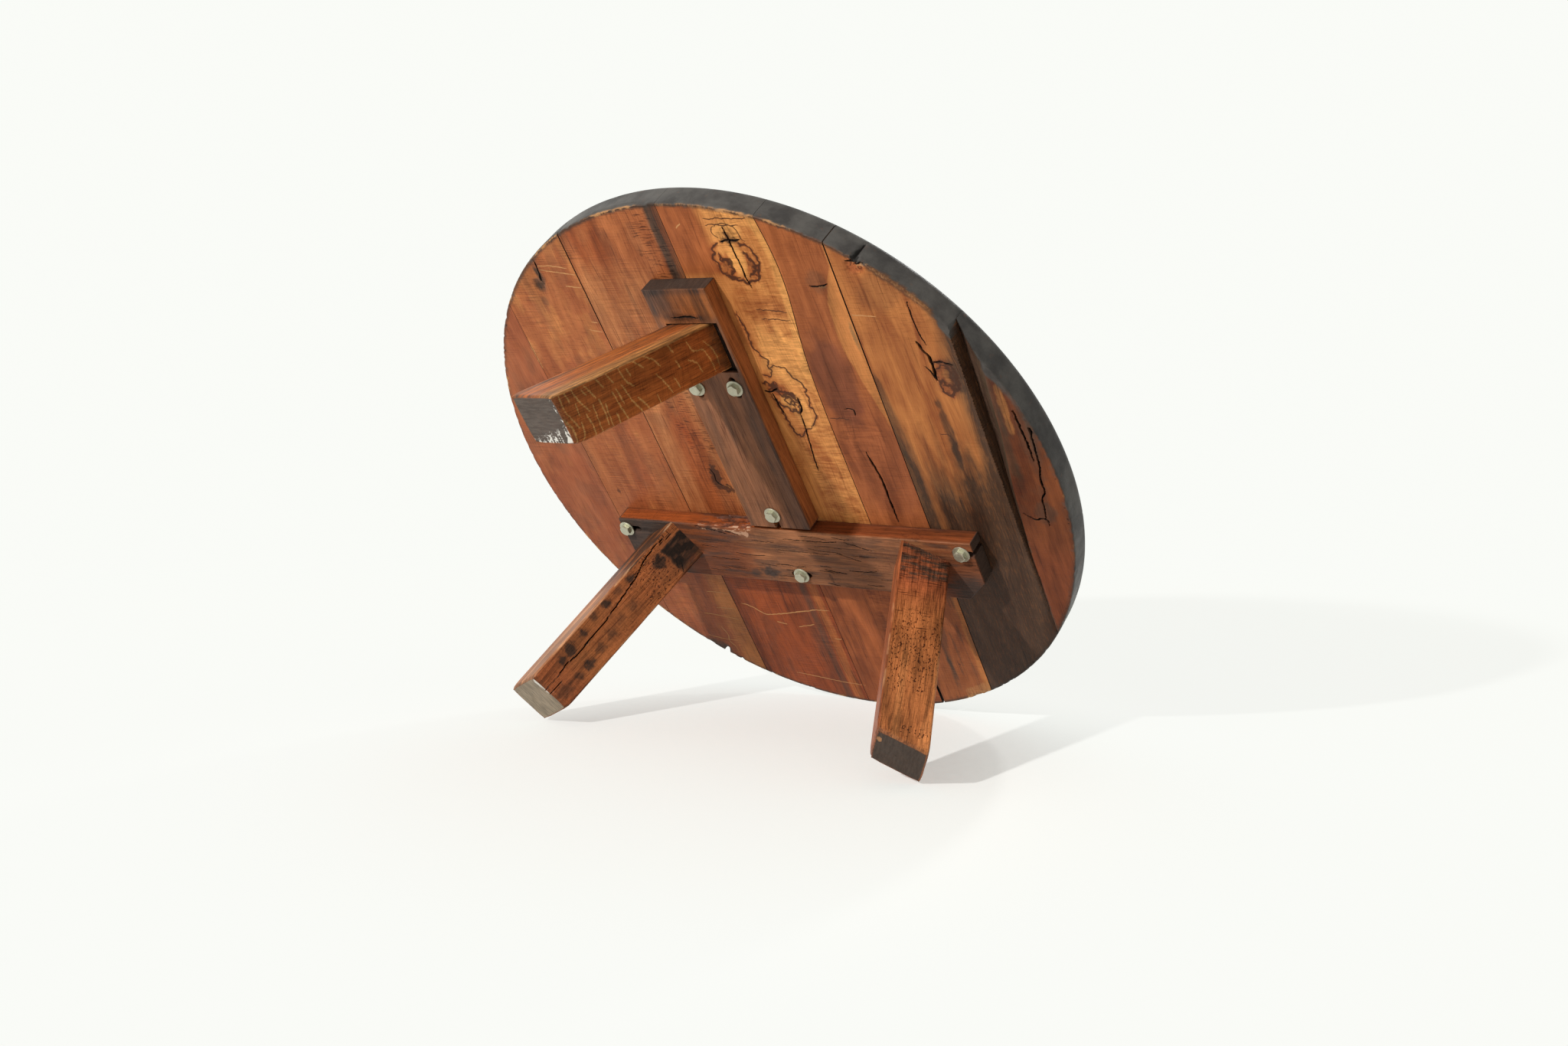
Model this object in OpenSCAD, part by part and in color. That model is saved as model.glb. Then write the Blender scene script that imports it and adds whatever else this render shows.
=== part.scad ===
// Tripod coffee table in reclaimed hardwood, in millimetres.
// The table stands upright: +Z up, feet on z = 0, the centre of the round top over the origin.
// +Y runs along the boards of the top, towards the leg under the stem beam.

/* [Table] */
// Height of the table, floor to the face of the top
table_h = 400; // [340:10:500]
// Diameter of the top
top_d = 1000; // [960:10:1200]
// Thickness of the top
top_t = 49; // [46:1:60]
// Rounding of the rim at the face of the top
rim_face_r = 12; // [3:1:16]
// Rounding of the rim at the underside
rim_under_r = 3; // [1:0.5:6]

/* [Boards] */
// Where each glue line crosses the X axis, first to last
seam_x = [368, 201, -1, -152, -258, -412];
// How far each glue line wanders in x for each metre along the boards
seam_lean = [0, -9, -16, -9, -12, 0];
// How far the natural edge swings each glue line aside
seam_swing = [0, 0, 0, -20, 0, 0];
// Where along the boards the swing is widest
swing_y = 380; // [300:10:420]
// Half length of the swing
swing_len = 120; // [60:10:160]
// Thickness of a glue line
glue_gap = 0.3; // [0.1:0.1:0.6]
// Widest part of the missing natural edge beside the last glue line
wane_w = 30; // [10:1:44]
// Depth of the missing natural edge
wane_depth = 20; // [6:1:22]

/* [Seam dowels] */
// Diameter of a blind dowel
dowel_d = 12; // [8:1:12]
// Length of a blind dowel
dowel_len = 70; // [50:5:80]
// Distance between dowels along a glue line
dowel_pitch = 155; // [150:1:160]
// Where the middle row of dowels lies
dowel_y = 20; // [10:1:30]
// Height of the dowels above the underside of the top
dowel_rise = 30; // [29:1:34]
// Least distance from a dowel to the rim
dowel_rim = 60; // [50:5:80]
// Radial clearance of a dowel in its bore
dowel_fit = 0.1; // [0.05:0.05:0.2]
// Room left at each end of a dowel
dowel_end_room = 0.8; // [0.2:0.1:2]

/* [Beams] */
// Thickness of both beams
beam_t = 30; // [28:1:40]
// Width of the stem beam
stem_w = 115; // [110:1:130]
// Width of the cross beam
cross_w = 114; // [106:1:130]
// How far each beam runs on past the middle of its leg
beam_overhang = 101; // [90:1:130]
// Gap between the stem beam's end and the cross beam
beam_gap = 6; // [2:1:12]
// How far the cross beam sits behind the middle of its legs
cross_set_back = 2; // [0:1:5]
// Rounding of the beams' long edges
beam_edge_r = 2; // [0.5:0.5:4]
// Corner sawn off the cross beam's end
corner_cut = 35; // [10:1:50]
// Length of the torn edge on the cross beam
tear_len = 106; // [40:1:120]
// Distance from the middle of the table to the torn edge
tear_x = 60; // [58:1:70]
// Depth of the torn edge
tear_depth = 9; // [3:1:12]

/* [Legs] */
// Width of the square legs
leg_w = 77; // [60:1:86]
// Lean of the legs away from the middle
leg_splay = 19.8; // [10:0.2:24]
// Distance from the middle of the table to a leg where it meets its beam
leg_root_r = 274; // [262:1:300]
// Direction in which the stem leg leans
stem_leg_az = 90; // [87:0.5:93]
// Direction in which the left leg leans
left_leg_az = -29; // [-31:0.5:-28]
// Direction in which the right leg leans
right_leg_az = 209.5; // [208:0.5:211]
// Rounding of the legs' long edges
leg_edge_r = 4; // [1:0.5:8]

/* [Leg joints] */
// Side of the square stub tenon
tenon_w = 44; // [34:1:50]
// Wood left in the beam over the tenon
web_t = 10; // [8:1:12]
// Clearance round the tenon
tenon_fit = 0.2; // [0.1:0.05:0.5]
// Depth of the recess that the stem leg is let into
recess_depth = 10; // [4:1:12]
// Extra width of the recess on the side away from the left leg
recess_slack = 14; // [4:1:16]
// Clearance of the recess round the stem leg's other sides
recess_fit = 1; // [0.5:0.5:3]

/* [Coach screws] */
// Diameter of the shank
coach_d = 10; // [8:1:10]
// Head size across the flats
head_af = 17; // [13:1:17]
// Head height
head_h = 7; // [5:0.5:8]
// How far the screws bite into the top
coach_bite = 33; // [20:1:34]
// Length of the pointed tip
coach_tip = 8; // [4:1:10]
// Radial clearance of a shank in the top
coach_fit = 0.1; // [0.05:0.05:0.3]
// Washer diameter
washer_d = 28; // [25:1:30]
// Washer thickness
washer_t = 2.5; // [1.5:0.5:3]
// Washer hole
washer_hole = 11; // [10.5:0.5:12]
// Width of the slots in the beams
slot_w = 11; // [10.5:0.5:13]
// Length of the slots in the beams
slot_len = 38; // [30:1:42]
// Distance from a slot's middle to the edge of its beam
slot_edge = 20; // [15:1:24]
// Distance between the two coach screws beside the stem leg
pair_pitch = 71; // [66:1:80]
// Distance from the stem leg's middle to the two screws beside it
pair_set_back = 74; // [70:1:90]
// Distance from the stem beam's inner end to its single screw
stem_end_inset = 27; // [24:1:34]
// How far that screw sits from the middle of its slot
stem_end_shift = 10; // [0:1:12]
// Distance from the cross beam's left end to its screw
left_inset = 10; // [8:1:16]
// How far the left screw sits from the middle of its slot
left_shift = 11; // [6:1:12]
// Distance from the cross beam's right end to its screw
right_inset = 20; // [16:1:26]
// How far the right screw sits from the middle of its slot
right_shift = 3; // [0:1:6]

/* [Leg screws] */
// Diameter of the screws that hold a leg
leg_screw_d = 6; // [4:0.5:6]
// Length of the screws that hold a leg
leg_screw_len = 80; // [50:5:90]
// Head diameter of the screws that hold a leg
leg_screw_head = 12; // [9:0.5:12]
// Distance between the two screws of a leg
leg_screw_pitch = 22; // [18:1:26]
// Radial clearance of a leg screw
leg_screw_fit = 0.1; // [0.05:0.05:0.3]
// Depth of the heads below the beam's face
leg_screw_sink = 0.2; // [0.1:0.1:0.6]

/* [Hidden] */

$fn = 64;
eps = 0.01;
arc_steps = 6;

top_r = top_d / 2;
z_under = table_h - top_t;
z_face = z_under - beam_t;
z_dowel = z_under + dowel_rise;
seam_reach = top_r + 20;
last_seam = len(seam_x) - 1;

stem_x = leg_root_r * cos(stem_leg_az);
stem_y1 = leg_root_r + beam_overhang;
cross_y = -leg_root_r * sin(30) - cross_set_back;
cross_half = leg_root_r * cos(30) + beam_overhang;
stem_y0 = cross_y + cross_w / 2 + beam_gap;

leg_rise = table_h;
leg_across = leg_w / cos(leg_splay);
z_tenon = z_under - web_t;
mortise_w = tenon_w + 2 * tenon_fit;

// Each coach screw: place in x and y, the way its slot runs, and how far the slot's middle is from it
pair_y = leg_root_r - pair_set_back;
edge_y = cross_y + cross_w / 2 - slot_edge;
SCREWS = [
    [stem_x + pair_pitch / 2, pair_y, "y", 0],
    [stem_x - pair_pitch / 2, pair_y, "y", 0],
    [stem_x + 3, stem_y0 + stem_end_inset, "y", -stem_end_shift],
    [cross_half - left_inset, edge_y, "x", -left_shift],
    [-1, cross_y - cross_w / 2 + slot_edge, "x", 0],
    [-cross_half + right_inset, edge_y, "x", -right_shift]
];

// Where a glue line lies at a place along the boards
function seam_at(i, y) = seam_x[i] + seam_lean[i] * y / 1000
    + seam_swing[i] * exp(-pow((y - swing_y) / swing_len, 2));

// Points of a glue line from back to front, moved aside by half the glue
function seam_line(i, aside) =
    let (step = seam_swing[i] == 0 ? 2 * seam_reach : 2 * seam_reach / 26)
    [for (y = [seam_reach : -step : -seam_reach - eps]) [seam_at(i, y) + aside, y]];

function reversed(list) = [for (k = [len(list) - 1 : -1 : 0]) list[k]];

// Rows where a glue line has dowels
function dowel_rows(i) =
    let (chord = sqrt(pow(top_r, 2) - pow(seam_x[i], 2)))
    [for (k = [-4 : 4]) let (y = dowel_y + k * dowel_pitch) if (abs(y) < chord - dowel_rim) y];

// Points of a quarter round, from one angle to the next
function quarter(cx, cy, r, a0, a1) =
    [for (k = [0 : arc_steps]) let (a = a0 + (a1 - a0) * k / arc_steps) [cx + r * cos(a), cy + r * sin(a)]];

// Square with round corners
module round_square(w, d, r) {
    square([w, d - 2 * r], center = true);
    square([w - 2 * r, d], center = true);
    for (sx = [-1, 1], sy = [-1, 1])
        translate([sx * (w / 2 - r), sy * (d / 2 - r)]) circle(r = r);
}

// Disc of the whole top, with its rounded rim
module top_disc() {
    rotate_extrude($fn = 180)
        polygon(concat(
            [[0, z_under]],
            quarter(top_r - rim_under_r, z_under + rim_under_r, rim_under_r, -90, 0),
            quarter(top_r - rim_face_r, table_h - rim_face_r, rim_face_r, 0, 90),
            [[0, table_h]]
        ));
}

// Plan of one board, before it is cut to the disc
module board_plan(i) {
    left = i == 0 ? [[seam_reach, seam_reach], [seam_reach, -seam_reach]] : seam_line(i - 1, -glue_gap / 2);
    right = i > last_seam ? [[-seam_reach, seam_reach], [-seam_reach, -seam_reach]] : seam_line(i, glue_gap / 2);
    polygon(concat(left, reversed(right)));
}

// Round hole along X through a glue line, or the dowel in it
module dowel_rod(i, y, r, len) {
    translate([seam_at(i, y) - len / 2, y, z_dowel]) rotate([0, 90, 0]) cylinder(r = r, h = len);
}

module dowel_bores(i) {
    for (y = dowel_rows(i)) dowel_rod(i, y, dowel_d / 2 + dowel_fit, dowel_len + 2 * dowel_end_room);
}

module coach_bores() {
    for (s = SCREWS)
        translate([s[0], s[1], z_under - eps])
            cylinder(d = coach_d + 2 * coach_fit, h = coach_bite + 2 * coach_fit + eps);
}

// Board number i of the top, counted from 0 at +X
module board(i) {
    difference() {
        intersection() {
            top_disc();
            translate([0, 0, z_under - 1]) linear_extrude(top_t + 2) board_plan(i);
        }
        if (i > 0) dowel_bores(i - 1);
        if (i <= last_seam) dowel_bores(i);
        coach_bores();
    }
}

// Wedge missing along the natural edge of the last board, between two stations
module wane_part(a, b) {
    hull() for (s = [a, b])
        translate([seam_at(last_seam, s[0]) + eps, s[0], z_under - eps]) rotate([90, 0, 0])
            linear_extrude(eps) polygon([[0, 0], [-wane_w * s[1], 0], [0, wane_depth * s[2]]]);
}

// Stations of the missing edge: place along the board, share of its width, share of its depth
WANE = [[330, 0.5, 0.8], [225, 1, 1], [90, 0.72, 0.9], [0, 0.36, 0.6], [-110, 0.12, 0.3], [-250, 0.04, 0.12]];

module wane_cut() {
    for (k = [0 : len(WANE) - 2]) wane_part(WANE[k], WANE[k + 1]);
}

module dowel_set(i) {
    color("burlywood") for (y = dowel_rows(i)) dowel_rod(i, y, dowel_d / 2, dowel_len);
}

module top_board_1() color("sienna") board(0);
module top_board_2() color("peru") board(1);
module top_board_3() color("sienna") board(2);
module top_board_4() color("goldenrod") board(3);
module top_board_5() color("brown") board(4);
module top_board_6() color("peru") board(5);
module top_board_7() {
    color("sienna") difference() {
        board(6);
        wane_cut();
    }
}

module seam_dowels_1() dowel_set(0);
module seam_dowels_2() dowel_set(1);
module seam_dowels_3() dowel_set(2);
module seam_dowels_4() dowel_set(3);
module seam_dowels_5() dowel_set(4);
module seam_dowels_6() dowel_set(5);

// Slot through a beam for coach screw s
module slot(s) {
    run = (slot_len - slot_w) / 2;
    turn = s[2] == "x" ? 0 : 90;
    shift = s[2] == "x" ? [s[3], 0] : [0, s[3]];
    translate([s[0] + shift[0], s[1] + shift[1], z_face - 1]) rotate([0, 0, turn]) {
        translate([-run, -slot_w / 2, 0]) cube([2 * run, slot_w, beam_t + 2]);
        for (side = [-1, 1]) translate([side * run, 0, 0]) cylinder(d = slot_w, h = beam_t + 2);
    }
}

// Places things at a leg's root, x outwards along the lean
module at_root(az) {
    rotate([0, 0, az]) translate([leg_root_r, 0, 0]) children();
}

// Holes that a beam needs for a leg: mortise and two countersunk screw holes
module leg_joint_holes(az) {
    at_root(az) {
        translate([-mortise_w / 2, -mortise_w / 2, z_face - 1]) cube([mortise_w, mortise_w, beam_t - web_t + 1]);
        screw_pair(leg_screw_fit, 1);
    }
}

// The two countersunk screws of a leg, or their holes when grown and run on by extra
module screw_pair(grow, extra) {
    r = leg_screw_d / 2 + grow;
    r_head = leg_screw_head / 2 + grow;
    z_head = z_under - leg_screw_sink;
    for (side = [-1, 1]) translate([0, side * leg_screw_pitch / 2, 0]) {
        translate([0, 0, z_under - leg_screw_len - grow]) cylinder(r = r, h = leg_screw_len - leg_screw_sink);
        translate([0, 0, z_head - (r_head - r)]) cylinder(r1 = r, r2 = r_head, h = r_head - r);
        if (extra > 0) translate([0, 0, z_head]) cylinder(r = r_head, h = extra);
    }
}

// Recess in the stem beam that the stem leg is let into, wider on one side than the leg
module leg_recess() {
    lean_in = recess_depth * tan(leg_splay);
    x0 = -leg_across / 2 - lean_in - recess_fit;
    x1 = leg_across / 2 + recess_fit;
    at_root(stem_leg_az)
        translate([x0, -leg_w / 2 - recess_fit, z_face - 1])
            cube([x1 - x0, leg_w + 2 * recess_fit + recess_slack, recess_depth + 1]);
}

module stem_beam() {
    len = stem_y1 - stem_y0;
    color("saddlebrown") difference() {
        translate([stem_x, stem_y1, z_face + beam_t / 2]) rotate([90, 0, 0])
            linear_extrude(len) round_square(stem_w, beam_t, beam_edge_r);
        leg_joint_holes(stem_leg_az);
        leg_recess();
        for (k = [0 : 2]) slot(SCREWS[k]);
    }
}

// Corner sawn off the cross beam's right end
module corner_saw() {
    side = corner_cut * sqrt(2);
    translate([-cross_half, cross_y - cross_w / 2, z_face - 1]) rotate([0, 0, 45])
        translate([-side / 2, -side / 2, 0]) cube([side, side, beam_t + 2]);
}

// Splinter torn from the cross beam's edge, fading out away from the middle
module tear() {
    translate([tear_x, cross_y + cross_w / 2, z_face]) rotate([0, 0, atan(tear_depth / tear_len)])
        rotate([45, 0, 0]) cube([tear_len, tear_depth * sqrt(2), tear_depth * sqrt(2)], center = false);
}

module cross_beam() {
    color("saddlebrown") difference() {
        translate([-cross_half, cross_y, z_face + beam_t / 2]) rotate([90, 0, 90])
            linear_extrude(2 * cross_half) round_square(cross_w, beam_t, beam_edge_r);
        leg_joint_holes(left_leg_az);
        leg_joint_holes(right_leg_az);
        for (k = [3 : 5]) slot(SCREWS[k]);
        corner_saw();
        tear();
    }
}

// Leg that leans along az, its shoulder let into the beam by housed, with its stub tenon
module leg(az, housed) {
    shoulder = z_face + housed;
    color("chocolate") difference() {
        union() {
            intersection() {
                at_root(az) translate([0, 0, z_face]) rotate([0, -leg_splay, 0])
                    translate([0, 0, -leg_rise]) linear_extrude(leg_rise + beam_t)
                        round_square(leg_w, leg_w, leg_edge_r);
                translate([-top_d, -top_d, 0]) cube([2 * top_d, 2 * top_d, shoulder]);
            }
            at_root(az) translate([-tenon_w / 2, -tenon_w / 2, shoulder - 1])
                cube([tenon_w, tenon_w, z_tenon - tenon_fit - shoulder + 1]);
        }
        at_root(az) screw_pair(leg_screw_fit, 0);
    }
}

module leg_stem() leg(stem_leg_az, recess_depth);
module leg_left() leg(left_leg_az, 0);
module leg_right() leg(right_leg_az, 0);

module coach_screws() {
    z_head = z_face - washer_t - head_h;
    r_corner = head_af / 2 / cos(30);
    shank = washer_t + beam_t + coach_bite - coach_tip;
    color("silver") for (s = SCREWS) translate([s[0], s[1], z_head]) {
        intersection() {
            rotate([0, 0, 15]) cylinder(r = r_corner, h = head_h, $fn = 6);
            cylinder(r1 = head_af / 2, r2 = head_af / 2 + 2 * head_h, h = head_h + 1);
        }
        translate([0, 0, head_h - eps]) cylinder(d = coach_d, h = shank + eps);
        translate([0, 0, head_h + shank - eps]) cylinder(d1 = coach_d, d2 = 2, h = coach_tip);
    }
}

module washers() {
    color("gainsboro") for (s = SCREWS) translate([s[0], s[1], z_face - washer_t])
        difference() {
            cylinder(d = washer_d, h = washer_t);
            translate([0, 0, -1]) cylinder(d = washer_hole, h = washer_t + 2);
        }
}

module leg_screws_stem() color("darkgray") at_root(stem_leg_az) screw_pair(0, 0);
module leg_screws_left() color("darkgray") at_root(left_leg_az) screw_pair(0, 0);
module leg_screws_right() color("darkgray") at_root(right_leg_az) screw_pair(0, 0);

top_board_1();
top_board_2();
top_board_3();
top_board_4();
top_board_5();
top_board_6();
top_board_7();
seam_dowels_1();
seam_dowels_2();
seam_dowels_3();
seam_dowels_4();
seam_dowels_5();
seam_dowels_6();
stem_beam();
cross_beam();
leg_stem();
leg_left();
leg_right();
coach_screws();
washers();
leg_screws_stem();
leg_screws_left();
leg_screws_right();
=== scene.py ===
"""Tripod coffee table in reclaimed hardwood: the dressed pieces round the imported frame, and a pale studio."""

import math

import bpy
import numpy as np
from mathutils import Matrix, Vector
from mathutils.geometry import delaunay_2d_cdt


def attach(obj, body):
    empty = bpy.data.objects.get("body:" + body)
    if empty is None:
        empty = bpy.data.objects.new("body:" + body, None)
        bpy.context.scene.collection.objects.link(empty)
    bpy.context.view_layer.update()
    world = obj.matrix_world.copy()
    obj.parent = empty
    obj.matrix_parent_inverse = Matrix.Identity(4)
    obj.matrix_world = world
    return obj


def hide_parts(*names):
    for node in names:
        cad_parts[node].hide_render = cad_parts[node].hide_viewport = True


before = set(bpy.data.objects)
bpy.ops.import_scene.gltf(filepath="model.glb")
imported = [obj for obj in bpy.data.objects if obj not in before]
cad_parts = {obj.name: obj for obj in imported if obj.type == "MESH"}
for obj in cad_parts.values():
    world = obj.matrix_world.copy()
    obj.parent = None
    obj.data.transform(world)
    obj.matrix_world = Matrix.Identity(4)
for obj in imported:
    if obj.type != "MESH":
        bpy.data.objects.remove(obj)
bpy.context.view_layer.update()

bl_info = {
    "name": "Tripod coffee table",
    "version": (1, 0, 0),
    "blender": (4, 5, 0),
    "location": "3D View > Sidebar > Tripod table",
    "description": "Dresses the packed tripod coffee table and sets it in a pale studio",
    "category": "Object",
}

MM = 0.001
EVEN = math.inf  # grain of a noise that stays the same along an axis

# ---- sizes of the frame, in millimetres ----
TOP_R = 500.0
Z_UNDER, Z_FACE, Z_TOP = 351.0, 321.0, 400.0  # underside of the boards, lower face of the beams, face of the top
THICK = Z_TOP - Z_UNDER
ROUND_LOW, ROUND_HIGH = 3.0, 12.0  # roundings of the rim, at the underside and at the face
SEAM_X = (368, 201, -1, -152, -258, -412)
SEAM_LEAN = (0, -9, -16, -9, -12, 0)
SEAM_SWING = (0, 0, 0, -20, 0, 0)
SEAM_ARRIS = (0.25, 0.6, 0.4, 0.5, 0.6, 0.5)
GLUE = 0.3
CROSS = (-196.0, -82.0, 338.3)  # y of its two edges, half length
CROSS_CUT = 35.0  # sawn off one corner
STEM = (-76.0, 375.0, 57.5)  # y of its two ends, half width
LEG_W, LEG_EDGE, SPLAY, ROOT_R = 77.0, 4.0, math.radians(19.8), 274.0
LEG_AZ = {"leg_stem": 90.0, "leg_left": -29.0, "leg_right": 209.5}
TENON_W, TENON_TOP, MORTISE_TOP = 44.0, 340.8, 341.0
RECESS = 10.0  # how deep the stem leg is let into its beam
SLOT_W, SLOT_RUN = 11.0, 13.5
HEAD_FLATS, HEAD_BASE, SHANK = 17.0, Z_FACE - 2.5, 65.3  # coach screws: across flats, underside of the head, length
# place of each coach screw, axis of its slot, shift of the slot's middle, turn of the head in degrees
SCREWS = (
    (35.5, 200.0, 1, 0.0, 12), (-35.5, 200.0, 1, 0.0, 40), (3.0, -49.0, 1, -10.0, 5),
    (328.3, -102.0, 0, -11.0, 28), (-1.0, -176.0, 0, 0.0, 50), (-318.3, -102.0, 0, -3.0, 20),
)


# ---- noise that is the same each run ----
def lattice(i, j, seed):
    h = (i * 374761393 + j * 668265263 + seed * 2246822519) & 0xFFFFFFFF
    h = ((h ^ (h >> 13)) * 1274126177) & 0xFFFFFFFF
    return ((h ^ (h >> 16)) & 0xFFFF) / 65535.0


def noise(x, y, seed=0, octaves=1):
    """Smooth noise from 0 to 1 on a unit grid."""
    total, gain, norm = 0.0, 1.0, 0.0
    for k in range(octaves):
        xi, yi = np.floor(x).astype(np.int64), np.floor(y).astype(np.int64)
        u, v = x - xi, y - yi
        u, v = u * u * (3 - 2 * u), v * v * (3 - 2 * v)
        a = lattice(xi, yi, seed + k) * (1 - u) + lattice(xi + 1, yi, seed + k) * u
        b = lattice(xi, yi + 1, seed + k) * (1 - u) + lattice(xi + 1, yi + 1, seed + k) * u
        total, norm = total + gain * (a * (1 - v) + b * v), norm + gain
        gain, x, y = gain * 0.5, x * 2.03 + 7.1, y * 2.03 + 3.7
    return total / norm


def smooth(a, b, x):
    """Soft step from 0 at a to 1 at b."""
    t = np.clip((x - a) / (b - a), 0, 1)
    return t * t * (3 - 2 * t)


# ---- masks and relief ----
MASKS = ("dark", "line", "pale", "sap", "stain", "olive", "figure", "end", "rim", "saw", "speck", "red")


def blank(n):
    """Empty masks, and the relief h that goes into the wood in millimetres."""
    return {k: np.zeros(n) for k in MASKS + ("h",)}


def mask_layers(m, place):
    """The masks packed three by three, as the materials read them."""
    out = {"place": place}
    for k, name in enumerate(("wear", "tone", "zone", "spot")):
        out[name] = np.column_stack([m[key] for key in MASKS[3 * k:3 * k + 3]]).clip(0, 1)
    return out


def patch(x, y, cx, cy, rx, ry, seed=1, ragged=0.3, grain=12.0, turn=0.0, soft=0.3):
    """Soft-edged oval from 0 to 1."""
    c, s = math.cos(math.radians(turn)), math.sin(math.radians(turn))
    u, v = (x - cx) * c + (y - cy) * s, -(x - cx) * s + (y - cy) * c
    r = np.hypot(u / rx, v / ry) + (noise(x / grain, y / grain, seed, 3) - 0.5) * 2 * ragged
    return 1 - smooth(1 - soft, 1 + soft, r)


def factor(at, kind, *n):
    """One factor of a row for paint(), from 0 to 1. at holds the axes of a surface and its masks."""
    def cloud(gx, gy, seed, octaves=2):
        return noise(at["x"] / gx, at["y"] / gy, seed, octaves)

    if not isinstance(kind, str):
        return patch(at["x"], at["y"], kind, *n)
    if kind == "clear":  # where a mask is empty
        return 1 - np.clip(at["masks"][n[0]], 0, 1)
    if kind == "first":  # on the first few parts
        return at["part"] < n[0]
    if kind == "noise":
        return cloud(*n)
    if kind == "mottle":  # noise between two levels
        return smooth(n[0], n[1], cloud(*n[2:]))
    # a step along an axis, its edge shaken by so many millimetres of noise
    shake = n[2] * (cloud(*n[3:]) - 0.5) if len(n) > 2 else 0
    return smooth(n[0], n[1], at[kind] + shake)


def paint(at, rows):
    """Adds rows to the masks. A row has a mask, a strength and factors: a bare number is the part it is for (a board or
    a face of a leg), a tuple of numbers is an oval, see patch(), and the other tuples are noise or soft steps."""
    for key, value, *factors in rows:
        for f in factors:
            value = value * (factor(at, *f) if isinstance(f, tuple) else at["part"] == f)
        at["masks"][key] += value


# ---- lines drawn on wood: cracks, outlines, scratches ----
class Mark:
    """A ragged line on a surface, with its width and depth in millimetres."""

    def __init__(self, kind, width, depth, points, ragged=0.3):
        p = np.array(points, float)
        seed = int(abs(p.sum() * 7)) % 9973
        q = np.vstack([2 * p[0] - p[1], p, 2 * p[-1] - p[-2]])
        out = []
        for k in range(1, len(q) - 2):
            a, b, c, d = q[k - 1:k + 3]
            n = max(2, int(np.hypot(*(c - b)) / 1.8))
            t = np.arange(n)[:, None] / n
            curve = 2 * b + (c - a) * t + (2 * a - 5 * b + 4 * c - d) * t**2 + (3 * b - a - 3 * c + d) * t**3
            out.append(0.5 * curve)
        p = np.vstack(out + [q[-2:-1]])
        s = np.arange(len(p))
        tangent = np.gradient(p, axis=0)
        tangent /= np.maximum(np.hypot(*tangent.T), 1e-9)[:, None]
        self.normal = np.stack([-tangent[:, 1], tangent[:, 0]], 1)
        sway = (noise(s * 0.35, s * 0.0, seed, 2) - 0.5) * 2 * ragged * max(width, 1.2)
        self.p = p + self.normal * sway[:, None]
        ends = np.minimum(1, np.sin(np.pi * np.clip((s + 0.6) / (len(p) + 0.2), 0, 1)) ** 0.35 * 1.1)
        self.half = 0.5 * width * ends * (0.62 + 0.76 * noise(s * 0.27, s * 0 + 5, seed + 3))
        self.kind, self.width, self.depth = kind, width, depth

    def rows(self):
        """Points that carry the line's shape, for the mesh."""
        h = self.half[:, None]
        shares = (0.62, 1.0) if self.kind == "crack" else (1.0,)
        aside = [self.normal * h * share for share in shares] + [self.normal * (h + 0.9)]
        return np.vstack([self.p] + [q for a in aside for q in (self.p + a, self.p - a)])

    def near(self, x, y, reach=3.0):
        """Indices of the points near the line, how far they are, and its half width there."""
        m = self.half.max() + reach + (2.0 if self.kind == "line" else 0)
        lo, hi = self.p.min(0) - m, self.p.max(0) + m
        idx = np.nonzero((x > lo[0]) & (x < hi[0]) & (y > lo[1]) & (y < hi[1]))[0]
        if not len(idx):
            return idx, None, None
        P = np.stack([x[idx], y[idx]], 1)
        a, ab = self.p[:-1], np.diff(self.p, axis=0)
        t = ((P[:, None] - a) * ab).sum(2) / np.maximum((ab**2).sum(1), 1e-9)
        t = np.clip(t, 0, 1)
        d = np.hypot(*np.moveaxis(a + t[..., None] * ab - P[:, None], 2, 0))
        k = d.argmin(1)
        r = np.arange(len(k))
        tt = t[r, k]
        return idx, d[r, k], self.half[k] * (1 - tt) + self.half[k + 1] * tt


def draw(m, marks, x, y, thin=1.0):
    """Cuts marks into the relief and writes them into the masks."""
    def raise_to(key, idx, value):
        m[key][idx] = np.maximum(m[key][idx], value)

    for mark in marks:
        idx, d, half = mark.near(x, y)
        if not len(idx):
            continue
        if mark.kind == "crack":
            raise_to("h", idx, mark.depth * thin * np.clip(1 - (d / np.maximum(half, 0.05)) ** 1.6, 0, 1))
            raise_to("dark", idx, 1 - smooth(half * 0.6, half + min(0.8, 0.3 + mark.width * 0.2), d))
            raise_to("line", idx, min(0.35, mark.width * 0.2) * (1 - smooth(half, half + 3.0, d)))
            continue
        core = 1 - smooth(half * 0.7, half + 0.7, d)
        raise_to("h", idx, mark.depth * core)
        key, strength = {"line": ("line", 1.0), "scratch": ("pale", 0.9), "ray": ("sap", 1.0)}[mark.kind]
        raise_to(key, idx, core * strength * thin)
        if mark.kind == "line" and mark.width > 1.5:
            fray = 5.5 * (noise(x[idx] / 2.6, y[idx] / 2.6, 15, 2) - 0.42)
            border = 1 - smooth(half + 0.3, half + 2.4, d + fray)
            raise_to("line", idx, 0.5 * border)
            raise_to("red", idx, 0.8 * border)


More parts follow.
